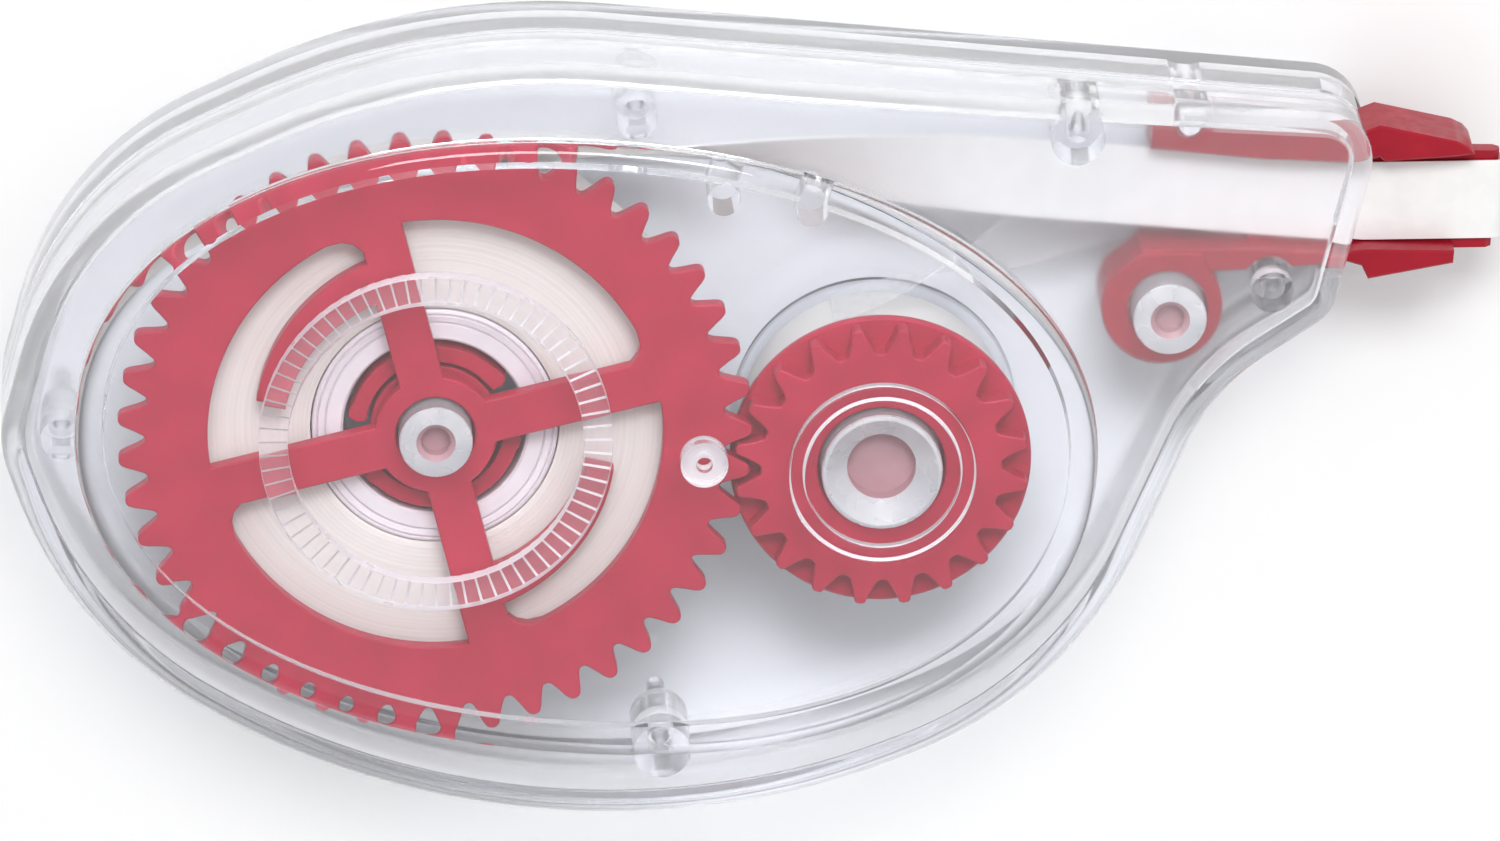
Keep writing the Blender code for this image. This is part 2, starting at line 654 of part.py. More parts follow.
def ribbon(name, material, stations):
    """Thin tape through (point, width direction) stations."""
    bm = bmesh.new()
    rings = []
    n = len(stations)
    for i, (p, wide) in enumerate(stations):
        along = (stations[min(i + 1, n - 1)][0] - stations[max(i - 1, 0)][0]).normalized()
        wide = (wide - along * wide.dot(along)).normalized()
        thick = along.cross(wide)
        w, t = wide * (TAPE_WIDTH / 2), thick * (TAPE_THICK / 2)
        rings.append([bm.verts.new(p + w + t), bm.verts.new(p - w + t),
                      bm.verts.new(p - w - t), bm.verts.new(p + w - t)])
    for a, b in zip(rings, rings[1:]):
        bridge(bm, a, b)
    bm.faces.new(rings[0])
    bm.faces.new(rings[-1])
    return add_object(name, bm, material, smooth=50.0)


def ease(t):
    t = min(max(t, 0.0), 1.0)
    return t * t * (3 - 2 * t)


def leaning(heading, degrees):
    """Width direction of a tape running along `heading`, 0 lying flat, 90 on edge."""
    side = Vector((-heading.y, heading.x, 0.0)).normalized()
    return side * cos(radians(degrees)) + Vector((0, 0, 1)) * sin(radians(degrees))


def tape_stations():
    """From the top of the supply roll to the nose of the tip and round it."""
    start = polar(SUPPLY_ROLL[1] + FIT, 86.5, SUPPLY_AXIS)
    heading = Vector((1.0, 0.0, 0.0))
    high, low = ROLL_Z + TAPE_WIDTH / 2, BLADE_Z[1] + TAPE_GAP
    nose_x = TIP_END_X - TAPE_GAP
    out = []
    n = 26
    for k in range(n + 1):
        t = k / n
        x = start[0] + (nose_x - start[0]) * t
        line_y = neck_point(x, 0.0)[1]
        y = start[1] + (line_y - start[1]) * ease(t / 0.45)
        z = high + (low - high) * ease(t / 0.7)
        out.append((Vector((x, y, z)), leaning(heading, 90.0 * (1 - ease((t - 0.06) / 0.52)))))
    mid = sum(BLADE_Z) / 2
    side = Vector((TIP_END_LEAN, 1.0, 0.0)).normalized()
    for k in range(1, 7):
        a = pi * k / 6
        turn = heading * ((low - mid) * sin(a))
        base = Vector((nose_x, TIP_MID_Y, mid + (low - mid) * cos(a)))
        out.append((base + turn, side))
    out[n] = (out[n][0], side)
    return out


def film_stations():
    """Spent film from under the tip back to the top of the take-up roll."""
    heading = Vector((cos(NECK_SLOPE), sin(NECK_SLOPE), 0.0))
    start = Vector((TIP_END_X - 1.5, TIP_MID_Y, BLADE_Z[0] - TAPE_GAP))
    bend = Vector((*neck_point(LEVEL_X - 1.0, 0.0), start.z - 0.3))
    knee = Vector((*neck_point(FILM_KNEE_X, 0.0), WALL + 1.5))
    r = TAKEUP_ROLL[1] + FIT
    away = knee.xy - Vector(TAKEUP_AXIS)
    touch = atan2(away.y, away.x) + acos(r / away.length)
    finish = Vector((*polar(r, touch * 180 / pi, TAKEUP_AXIS), TAKEUP_ROLL_Z + TAPE_WIDTH / 2))
    out = []
    for k in range(4):
        out.append((start.lerp(bend, k / 4), leaning(Vector((1, 0, 0)), 0.0)))
    for k in range(7):
        p = bend.lerp(knee, k / 6)
        p.z = bend.z + (knee.z - bend.z) * ease(k / 6)
        out.append((p, leaning(heading, 0.0)))
    back = (knee - finish).normalized()
    for k in range(1, 17):
        t = k / 16
        p = knee.lerp(finish, t)
        lean = 90.0 * ease((t - 0.2) / 0.75)
        p.z = knee.z + (finish.z - knee.z) * sin(radians(lean))
        out.append((p, leaning(heading.lerp(back, ease(t / 0.4)).normalized(), lean)))
    return out


# ------------------------------------------------------------------------------ assembly
def main():
    for ob in list(bpy.data.objects):
        bpy.data.objects.remove(ob, do_unlink=True)
    clear = [plastic(f"clear_{side}", (0.93, 0.93, 0.97), 0.05, 1.0)
             for side in ("front", "rear", "flange")]
    red = [plastic(f"red_{name}", (0.62, 0.03, 0.08), 0.35)
           for name in ("supply", "takeup", "clutch", "tip")]
    core = plastic("core_white", (0.86, 0.80, 0.84), 0.4)
    cream = plastic("tape_roll_cream", (0.86, 0.81, 0.75), 0.6)
    white = plastic("tape_white", (0.9, 0.9, 0.88), 0.5)
    film = plastic("film_milky", (0.85, 0.86, 0.85), 0.4)
    spent = plastic("spent_roll_white", (0.88, 0.87, 0.84), 0.55)

    make_rear_shell(clear[1])
    make_front_shell(clear[0])
    make_supply_gear(red[0])
    make_clutch(red[2])
    make_tube("supply_core", core, CORE, *CORE_Z, SUPPLY_AXIS)
    make_tube("supply_tape_roll", cream, (CORE[1] + 0.1, SUPPLY_ROLL[1]), ROLL_Z,
              ROLL_Z + TAPE_WIDTH, SUPPLY_AXIS, 80)
    make_takeup_gear(red[1])
    make_tube("takeup_film_roll", spent, TAKEUP_ROLL, TAKEUP_ROLL_Z,
              TAKEUP_ROLL_Z + TAPE_WIDTH, TAKEUP_AXIS)
    r0, r1, z0, z1 = REAR_FLANGE
    make_tube("takeup_rear_flange", clear[2], (r0, r1), z0, z1, TAKEUP_AXIS)
    make_tip(red[3])
    ribbon("correction_tape", white, tape_stations())
    ribbon("spent_film", film, film_stations())
    centre_on_origin()


def centre_on_origin():
    """Slide every piece so the whole assembly stands centred on the origin."""
    graph = bpy.context.evaluated_depsgraph_get()
    spots = []
    for ob in bpy.data.objects:
        if not ob.hide_render:
            real = ob.evaluated_get(graph)
            spots += [real.matrix_world @ Vector(c) for c in real.bound_box]
    low = [min(s[i] for s in spots) for i in range(3)]
    high = [max(s[i] for s in spots) for i in range(3)]
    move = Vector((-(low[0] + high[0]) / 2, -(low[1] + high[1]) / 2, -low[2]))
    for ob in bpy.data.objects:
        ob.location += move


main()
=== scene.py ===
"""Looks of the correction tape roller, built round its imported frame.

Shapes are worked out in millimetres, in plan positions measured from the supply reel axis as in
the part's own design, and become metres in the row frame when a piece is made.
"""

import json
from math import acos, asin, atan2, cos, hypot, pi, radians, sin, tau

import bmesh
import bpy
from mathutils import Matrix, Vector
from mathutils.geometry import tessellate_polygon


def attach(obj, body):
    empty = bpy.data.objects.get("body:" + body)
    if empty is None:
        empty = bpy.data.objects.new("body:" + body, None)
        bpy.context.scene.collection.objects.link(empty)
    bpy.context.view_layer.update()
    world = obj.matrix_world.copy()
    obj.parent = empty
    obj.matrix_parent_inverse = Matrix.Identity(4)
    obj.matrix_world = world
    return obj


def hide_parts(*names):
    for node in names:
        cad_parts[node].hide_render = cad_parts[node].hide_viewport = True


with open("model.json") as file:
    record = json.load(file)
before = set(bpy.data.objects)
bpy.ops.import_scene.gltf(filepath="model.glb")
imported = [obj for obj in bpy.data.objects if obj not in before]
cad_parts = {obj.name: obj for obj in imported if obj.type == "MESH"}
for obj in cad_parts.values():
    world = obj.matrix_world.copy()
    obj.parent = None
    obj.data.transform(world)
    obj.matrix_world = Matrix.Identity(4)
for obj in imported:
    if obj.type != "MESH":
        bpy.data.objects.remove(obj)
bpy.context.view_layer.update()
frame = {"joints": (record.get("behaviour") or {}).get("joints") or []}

MM = 0.001
FIT = 0.3                      # running gap between neighbouring pieces

# ---- case ----------------------------------------------------------------------------------
CASE_DEPTH = 13.8              # back face to flat front face
WALL = 1.4
BACK_FILLET = 1.1
FRONT_FILLET = 1.6
SPLIT_Z = 6.3                  # parting line, top of the rear shell's outer wall
LIP_STEP = 0.7
LIP_RISE = 1.0
CHORD = 0.6                    # facet length round the case outline
NECK_START, NECK_END = 20.0, 54.0
NECK_DROP = 2.4                # the front face sinks this much on its way to the mouth
CASE_CORNERS = (               # plan corners (x, y, fillet radius), anticlockwise
    (58.0, 18.6, 3.4), (-0.6, 24.6, 41.6), (-22.7, 14.3, 20.0), (-26.7, -0.1, 6.9),
    (-22.6, -12.5, 26.0), (5.7, -30.5, 48.3), (38.9, -17.9, 24.7), (47.5, 1.4, 12.2),
    (54.8, 5.9, 2.6),
)
WINDOW_CENTRE = (9.2, -0.75)   # raised oval window on the front face
WINDOW_SEMI = (31.2, 19.8)
WINDOW_TURN = -5.2
WINDOW_POWER = 2.14
WINDOW_RISE = 1.2
SHOULDER = 1.1                 # plan width of the window's rounded outer shoulder
RIM_WALL = 0.3                 # height of the steep wall below the shoulder
RIM_DRAFT = 0.06               # how far that wall leans in
INNER_STEP = (1.72, 1.85)      # the inner wall of the window, from its foot to the pane
MOUTH_X = (50.0, 60.0)         # opening in the neck that the tip passes through
MOUTH_Y = (8.2, 17.55)
MOUTH_Z = (3.0, 9.0)
FLOOR_ROOT = 0.5               # the rear shell's posts start this far inside its wall
PANE_ROOT = 0.4                # and the front shell's this far inside its wall
PIN_R = 0.55                   # closing pins on the rear shell
PIN_RISE = 1.8                 # their ends above the parting line
SOCKET_RISE = 2.4              # depth of their sockets above the parting line
BOSSES = (((12.3, 20.0), 1.25), ((39.0, 18.0), 1.65), ((13.7, -20.9), 1.8), ((51.0, 7.6), 1.3),
          ((-22.7, 0.0), 1.3))
STUDS = ((17.5, 15.2), (22.8, 14.4))
STUD_R = 1.0                   # short stops that hang from the front wall
STUD_FOOT = 9.0
TIP_PEG = (46.0, 18.3)         # stub beside the tip's upper arm
TIP_PEG_R = 1.0
TIP_PEG_TOP = 8.8
RETAINER = (16.3, -1.85)       # hollow boss that keeps the supply gear down
RETAINER_R = (0.5, 1.45)
RETAINER_FOOT = 12.2

# ---- gear train ----------------------------------------------------------------------------
SUPPLY_AXIS = (0.0, -0.27)
TAKEUP_AXIS = (27.15, -2.8)
SUPPLY_TEETH = 45
TAKEUP_TEETH = 20
SUPPLY_TIP, SUPPLY_ROOT = 19.3, 17.66
TAKEUP_TIP, TAKEUP_ROOT = 8.95, 7.35
SUPPLY_TOOTH_AT = 0.1          # direction of one tooth centre, degrees
GEAR_Z = (10.8, 11.9)
SPOKE_AT = 13.7
SPOKE_WIDTH = 2.7
WINDOW_OUT, WINDOW_IN = 13.85, 3.7      # radii of the openings between the spokes
PAWL_IN, PAWL_ROOT, PAWL_END = 9.3, 11.8, 11.1
PAWL_SWEEP = 64.0
PAWL_PAD = (6.0, 1.0)          # raised pad near a pawl's end, degrees back from the end
PAD_MARGIN = 0.25
SUPPLY_HUB = (2.42, 3.1)       # bore and outside radius
HUB_FOOT = 5.0
SPINDLE = (0.9, 2.25)
SPINDLE_TOP = 13.3
TAKEUP_SPINDLE = (2.1, 3.7)
TAKEUP_SPINDLE_TOP = 12.9
COUNTERSINK = 1.2              # depth of the cone in the take-up spindle's end
CONE_LAND = 0.3                # flat ring left round that cone
HOLE_SHOWN = 1.2               # depth to which a spindle's hole is modelled
HOLE_FLARE = 0.3               # the narrow spindles' holes widen this much at the end
END_DEPTH = 1.2                # a spindle's end is frosted this far down; on the sides this frosting is painted light that lifts the shade round the post
ABOVE_ALL = 14.0               # level above every post
ABOVE_LIP = 8.0                # level above the rear shell's lip
TAKEUP_HUB = (3.9, 4.9)
TAKEUP_FLANGE = 9.2
TAKEUP_FLANGE_Z = (9.8, 10.5)
TAKEUP_FACE_Z = 12.0
COLLAR = (4.75, 5.7)           # collar under the window round the take-up gear
COLLAR_FOOT = 12.3
FOOT_ROUND = 0.12              # edge radius on the collar and the retainer
MOULD_EDGE = 0.09              # edge break on the moulded pieces

# ---- reels ---------------------------------------------------------------------------------
CORE = (5.6, 7.5)
CORE_Z = (4.8, 10.4)
SUPPLY_ROLL = (7.6, 16.8)
TAKEUP_ROLL = (5.0, 8.2)
TAPE_WIDTH = 5.0
ROLL_Z = 5.2
TAKEUP_ROLL_Z = 2.9
CLUTCH_Z = (8.6, 10.5)
REAR_FLANGE = (4.1, 8.8, 1.9, 2.6)
RATCHET = (9.0, 10.75)
RATCHET_Z = (12.45, 12.57)      # saw teeth, from their tips to their roots
RATCHET_TEETH = 72

# ---- applicator tip and tape ---------------------------------------------------------------
NECK_SLOPE = radians(-5.6)
LEVEL_X = 57.0
TIP_MID_Y = 11.95
TIP_POST = (44.75, 6.0)
TIP_END_X = 65.0
TIP_END_LEAN = 0.07
BLADE_Z = (5.2, 6.4)
RAIL_Z = (3.7, 8.3)
TAPE_THICK = 0.12
FILM_KNEE_X = 47.0
TAPE_GAP = 0.25
TAPE_LEAVES_AT = 86.5          # direction in which the tape leaves the roll, degrees


def joint_place(name):
    """Plan position of a joint's axis in the row frame, mm."""
    spot = next(j["pos_m"] for j in frame["joints"] if j["name"] == name)
    return Vector((spot[0], spot[1])) / MM


PLAN = joint_place("supply_gear_spin") - Vector(SUPPLY_AXIS)


def in_frame(x, y, z):
    """Row-frame point, in metres, of a plan position in millimetres."""
    return Vector((x + PLAN.x, y + PLAN.y, z)) * MM


# ------------------------------------------------------------------------------ plan curves
def polar(r, deg, centre=(0.0, 0.0)):
    return (centre[0] + r * cos(radians(deg)), centre[1] + r * sin(radians(deg)))


def arc(r, a0, a1, step=2.0, centre=(0.0, 0.0)):
    n = max(1, int(abs(a1 - a0) / step + 0.5))
    return [polar(r, a0 + (a1 - a0) * k / n, centre) for k in range(n + 1)]


def circle(r, centre=(0.0, 0.0), n=96):
    return [polar(r, 360.0 * k / n, centre) for k in range(n)]


def filleted(corners, step=2.0):
    """Closed polyline through (x, y, radius) corners with a tangent arc at each of them."""
    out = []
    n = len(corners)
    for i, (x, y, r) in enumerate(corners):
        p = Vector((x, y))
        a = (Vector(corners[i - 1][:2]) - p).normalized()
        b = (Vector(corners[(i + 1) % n][:2]) - p).normalized()
        half = a.angle(b) / 2
        mid = p + (a + b).normalized() * (r / sin(half))
        s = p + a * (r * cos(half) / sin(half)) - mid
        e = p + b * (r * cos(half) / sin(half)) - mid
        a0, a1 = atan2(s.y, s.x), atan2(e.y, e.x)
        turn = (a1 - a0 + pi) % tau - pi
        k = max(2, int(abs(turn) / radians(step)) + 1)
        out += [(mid.x + r * cos(a0 + turn * j / k), mid.y + r * sin(a0 + turn * j / k))
                for j in range(k + 1)]
    return out


def resampled(points, spacing):
    """Closed polyline cut into near-equal chords."""
    ring = points + [points[0]]
    total = sum(hypot(q[0] - p[0], q[1] - p[1]) for p, q in zip(ring, ring[1:]))
    n = int(total / spacing)
    out, want, run = [], 0.0, 0.0
    for p, q in zip(ring, ring[1:]):
        d = hypot(q[0] - p[0], q[1] - p[1])
        while want <= run + d - 1e-9 and len(out) < n:
            t = (want - run) / d if d else 0.0
            out.append((p[0] + (q[0] - p[0]) * t, p[1] + (q[1] - p[1]) * t))
            want += total / n
        run += d
    return out


def inset(points, d):
    """Move an anticlockwise loop inward by d along its vertex normals."""
    out = []
    n = len(points)
    for i, (x, y) in enumerate(points):
        tx = points[(i + 1) % n][0] - points[i - 1][0]
        ty = points[(i + 1) % n][1] - points[i - 1][1]
        length = hypot(tx, ty)
        out.append((x - ty / length * d, y + tx / length * d))
    return out


def window_reach(angle, grow=0.0):
    """Distance from the window's centre to its outline in a plan direction, radians."""
    a, b = WINDOW_SEMI[0] + grow, WINDOW_SEMI[1] + grow
    t = angle - radians(WINDOW_TURN)
    p = WINDOW_POWER
    return (abs(cos(t) / a) ** p + abs(sin(t) / b) ** p) ** (-1 / p)


def face_drop(x):
    """How far the front face has sunk at plan position x."""
    t = min(max((x - NECK_START) / (NECK_END - NECK_START), 0.0), 1.15)
    return NECK_DROP * t ** 1.6


def front_inside(x, windowed=False):
    """Level of the front wall's inner surface."""
    return CASE_DEPTH - WALL - face_drop(x) + (WINDOW_RISE if windowed else 0.0)


# ------------------------------------------------------------------------------ mesh making
def cap(bm, loops):
    """Flat triangulated cap over an outer loop of vertices and any loops of holes."""
    flat = [v for loop in loops for v in loop]
    plan = [[Vector((v.co.x, v.co.y, 0.0)) for v in loop] for loop in loops]
    for tri in tessellate_polygon(plan):
        bm.faces.new([flat[i] for i in tri])


def ring_verts(bm, points, z):
    return [bm.verts.new((x, y, z)) for x, y in points]


def bridge(bm, lower, upper):
    n = len(lower)
    for i in range(n):
        j = (i + 1) % n
        bm.faces.new((lower[i], lower[j], upper[j], upper[i]))


def add_prism(bm, loops, z0, z1, edge=0.0):
    """Straight extrusion of an outer loop with optional holes, its rims broken by `edge`."""
    ends = ([], [])
    for k, pts in enumerate(loops):
        trimmed = inset(pts, edge if k == 0 else -edge) if edge else pts
        rings = [ring_verts(bm, trimmed, z0)]
        if edge:
            rings += [ring_verts(bm, pts, z0 + edge), ring_verts(bm, pts, z1 - edge)]
        rings.append(ring_verts(bm, trimmed, z1))
        for a, b in zip(rings, rings[1:]):
            bridge(bm, a, b)
        ends[0].append(rings[0])
        ends[1].append(rings[-1])
    for end in ends:
        cap(bm, end)


def add_lathe(bm, profile, centre=(0.0, 0.0), n=96):
    """Closed tube from an (r, z) profile that never touches the axis."""
    rings = [ring_verts(bm, circle(r, centre, n), z) for r, z in profile]
    for a, b in zip(rings, rings[1:] + rings[:1]):
        bridge(bm, a, b)


def add_turned(bm, profile, centre, n=48):
    """Solid of revolution from (r, z) steps, flat at both ends."""
    rings = [ring_verts(bm, circle(r, centre, n), z) for r, z in profile]
    for a, b in zip(rings, rings[1:]):
        bridge(bm, a, b)
    cap(bm, [rings[0]])
    cap(bm, [rings[-1]])


def add_rod(bm, r, centre, z0, z1, n=48, tip=0.0):
    """Solid round post, its top edge broken by `tip`."""
    end = [(r, z1 - tip), (r - 0.3 * tip, z1 - 0.3 * tip), (r - tip, z1)] if tip else [(r, z1)]
    add_turned(bm, [(r, z0)] + end, centre, n)


def add_loft(bm, rings):
    """Skin over successive loops with equal vertex counts, both ends capped."""
    loops = [ring_verts(bm, pts, z) for pts, z in rings]
    for a, b in zip(loops, loops[1:]):
        bridge(bm, a, b)
    cap(bm, [loops[0]])
    cap(bm, [loops[-1]])


def shift(bm, by):
    for v in bm.verts:
        v.co.x += by[0]
        v.co.y += by[1]


def make_object(name, bm):
    """Turn a bmesh in plan millimetres into an object in the row frame."""
    bmesh.ops.remove_doubles(bm, verts=bm.verts, dist=1e-5)
    bmesh.ops.recalc_face_normals(bm, faces=bm.faces)
    for v in bm.verts:
        v.co = in_frame(*v.co)
    mesh = bpy.data.meshes.new(name)
    bm.to_mesh(mesh)
    bm.free()
    ob = bpy.data.objects.new(name, mesh)
    bpy.context.scene.collection.objects.link(ob)
    return ob


def combine(ob, steps):
    """Add or cut each (operation, bmesh) in turn and keep the result as the object's mesh."""
    helpers = []
    for operation, bm in steps:
        helper = make_object("helper", bm)
        mod = ob.modifiers.new("step", "BOOLEAN")
        mod.operation = operation
        mod.solver = "EXACT"
        mod.object = helper
        helpers.append(helper)
    graph = bpy.context.evaluated_depsgraph_get()
    mesh = bpy.data.meshes.new_from_object(ob.evaluated_get(graph))
    ob.modifiers.clear()
    ob.data = mesh
    for helper in helpers:
        bpy.data.objects.remove(helper, do_unlink=True)
    return ob


def finish_piece(ob, materials, body, stands_for, smooth=32.0):
    """Shade a piece, give it its materials and body, and hide the CAD node it stands for."""
    ob.data.polygons.foreach_set("use_smooth", [True] * len(ob.data.polygons))
    ob.data.set_sharp_from_angle(angle=radians(smooth))
    for material in materials:
        ob.data.materials.append(material)
    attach(ob, body)
    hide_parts(stands_for)
    return ob


def paint(ob, index, test):
    """Give material `index` to the faces whose plan centre and normal pass the test."""
    for face in ob.data.polygons:
        c = face.center / MM
        if test(c.x - PLAN.x, c.y - PLAN.y, c.z, face.normal):
            face.material_index = index


# ---------------------------------------------------------------------------------- case
def quarter(radius, steps=8):
    """(inset, height) pairs round a quarter fillet, from the face to the wall."""
    return [(radius * (1 - sin(pi / 2 * k / steps)), radius * (1 - cos(pi / 2 * k / steps)))
            for k in range(steps + 1)]


def near_wall(at, r):
    """Whether a boss reaches the rear shell's lip."""
    lip = inset(resampled(filleted(CASE_CORNERS), CHORD), WALL)
    return min(hypot(at[0] - x, at[1] - y) for x, y in lip) < r + 2 * FIT


def mouth():
    """Block that cuts the opening for the tip."""
    bm = bmesh.new()
    (x0, x1), (y0, y1) = MOUTH_X, MOUTH_Y
    box = [(x0, y0), (x1, y0), (x1, y1), (x0, y1)]
    add_prism(bm, [box], *MOUTH_Z)
    return bm


def make_back_cover(materials):
    """Rear shell with its spindles and pins; materials: the skin, wall, hole, spindle ends."""
    wall, hole, first_end = 1, 2, 3
    outline = resampled(filleted(CASE_CORNERS), CHORD)
    inner = inset(outline, WALL)
    rings = [(inset(outline, i), z) for i, z in quarter(BACK_FILLET)]
    rings += [(outline, SPLIT_Z - 0.12), (inset(outline, 0.12), SPLIT_Z),
              (inset(outline, LIP_STEP), SPLIT_Z), (inset(outline, LIP_STEP), SPLIT_Z + LIP_RISE),
              (inner, SPLIT_Z + LIP_RISE), (inner, WALL + 0.5), (inset(inner, 0.15), WALL + 0.15),
              (inset(inner, 0.5), WALL)]
    bm = bmesh.new()
    add_loft(bm, rings)
    cover = make_object("back_cover", bm)

    posts = bmesh.new()
    floor = WALL - FLOOR_ROOT
    tip_post_top = front_inside(TIP_POST[0]) - FIT
    add_rod(posts, SPINDLE[1], SUPPLY_AXIS, floor, SPINDLE_TOP, tip=0.2)
    add_rod(posts, TAKEUP_SPINDLE[1], TAKEUP_AXIS, floor, TAKEUP_SPINDLE_TOP, n=72, tip=0.25)
    add_rod(posts, SPINDLE[1], TIP_POST, floor, tip_post_top, tip=0.2)
    add_rod(posts, TIP_PEG_R, TIP_PEG, floor, SPLIT_Z - 0.1)
    for at, r in BOSSES:
        add_rod(posts, PIN_R, at, floor, SPLIT_Z + PIN_RISE, n=32, tip=0.15)

    bores = bmesh.new()
    for at, top in ((SUPPLY_AXIS, SPINDLE_TOP), (TIP_POST, tip_post_top)):
        flared = SPINDLE[0] + HOLE_FLARE
        add_turned(bores, [(SPINDLE[0], top - HOLE_SHOWN), (SPINDLE[0], top - HOLE_FLARE),
                           (flared, top), (flared, ABOVE_ALL)], at)
    bore, mouth_r = TAKEUP_SPINDLE[0], TAKEUP_SPINDLE[1] - CONE_LAND
    cone = TAKEUP_SPINDLE_TOP - COUNTERSINK
    add_turned(bores, [(bore, cone - HOLE_SHOWN), (bore, cone), (mouth_r, TAKEUP_SPINDLE_TOP),
                       (mouth_r, ABOVE_ALL)], TAKEUP_AXIS, 72)
    add_rod(bores, TIP_PEG_R + FIT, TIP_PEG, SPLIT_Z, ABOVE_LIP)
    for at, r in BOSSES:
        if near_wall(at, r):
            add_lathe(bores, [(PIN_R + FIT, SPLIT_Z), (r + FIT, SPLIT_Z), (r + FIT, ABOVE_LIP),
                              (PIN_R + FIT, ABOVE_LIP)], at, 40)
    combine(cover, [("UNION", posts), ("DIFFERENCE", bores), ("DIFFERENCE", mouth())])

    slack = 0.02
    spindles = (                   # axis, hole radius, outside radius, end
        (SUPPLY_AXIS, SPINDLE[0] + HOLE_FLARE, SPINDLE[1] + slack, SPINDLE_TOP),
        (TAKEUP_AXIS, TAKEUP_SPINDLE[0] + slack, TAKEUP_SPINDLE[1] + slack, TAKEUP_SPINDLE_TOP),
        (TIP_POST, SPINDLE[0] + HOLE_FLARE, SPINDLE[1] + slack, tip_post_top))

    def in_hole(x, y, z, normal):
        return any(hypot(x - at[0], y - at[1]) < inside and 2 * WALL < z < top - 0.01
                   for at, inside, outside, top in spindles)

    paint(cover, wall, lambda x, y, z, normal: abs(normal.z) < 0.95)
    # each spindle's end is frosted; the same skin on its sides, down END_DEPTH, is painted light
    # over the shade round the post
    for k, (at, inside, outside, top) in enumerate(spindles):
        paint(cover, first_end + k, lambda x, y, z, normal: (
            hypot(x - at[0], y - at[1]) < outside and z > top - END_DEPTH))
    paint(cover, hole, in_hole)
    return finish_piece(cover, materials, "case", "rear_shell")


def outer_rim(steps=10):
    """(inset, rise) pairs outside: a short steep wall, then a rounded shoulder."""
    turns = [pi / 2 * k / steps for k in range(steps + 1)]
    return [(0.0, 0.0)] + [(RIM_DRAFT + (SHOULDER - RIM_DRAFT) * (1 - cos(a)),
                            RIM_WALL + (WINDOW_RISE - RIM_WALL) * sin(a)) for a in turns]


def inner_rim():
    """(inset, rise) pairs inside: a steep step."""
    foot, pane = INNER_STEP
    return [(0.0, 0.0), (foot, 0.0), (pane, WINDOW_RISE)]


def face_skin(bm, edge_points, level, rim):
    """One skin of the front face, as loops from its edge in to the middle of the window."""
    centre = Vector(WINDOW_CENTRE)
    angles = [atan2(y - centre.y, x - centre.x) for x, y in edge_points]

    def window_loop(grow):
        return [tuple(centre + Vector((cos(a), sin(a))) * window_reach(a, grow)) for a in angles]

    foot = window_loop(0.0)
    loops = [ring_verts(bm, edge_points, level)]
    bands = 10
    for k in range(1, bands):
        t = k / bands
        loops.append(ring_verts(bm, [(p[0] + (q[0] - p[0]) * t, p[1] + (q[1] - p[1]) * t)
                                     for p, q in zip(edge_points, foot)], level))
    for i, rise in rim:
        loops.append(ring_verts(bm, window_loop(-i), level + rise))
    pane = window_loop(-rim[-1][0])
    for share in (0.88, 0.76, 0.64, 0.52, 0.40, 0.28, 0.16, 0.05):
        loops.append(ring_verts(bm, [tuple(centre + (Vector(p) - centre) * share) for p in pane],
                                level + WINDOW_RISE))
    for a, b in zip(loops, loops[1:]):
        bridge(bm, a, b)
    cap(bm, [loops[-1]])
    return loops[0]


def sink_front(bm):
    """Bend the front wall down towards the mouth."""
    base = SPLIT_Z + LIP_RISE + 2 * FIT
    for v in bm.verts:
        if v.co.z > base:
            v.co.z -= face_drop(v.co.x) * min(1.0, (v.co.z - base) / (CASE_DEPTH - WALL - base))


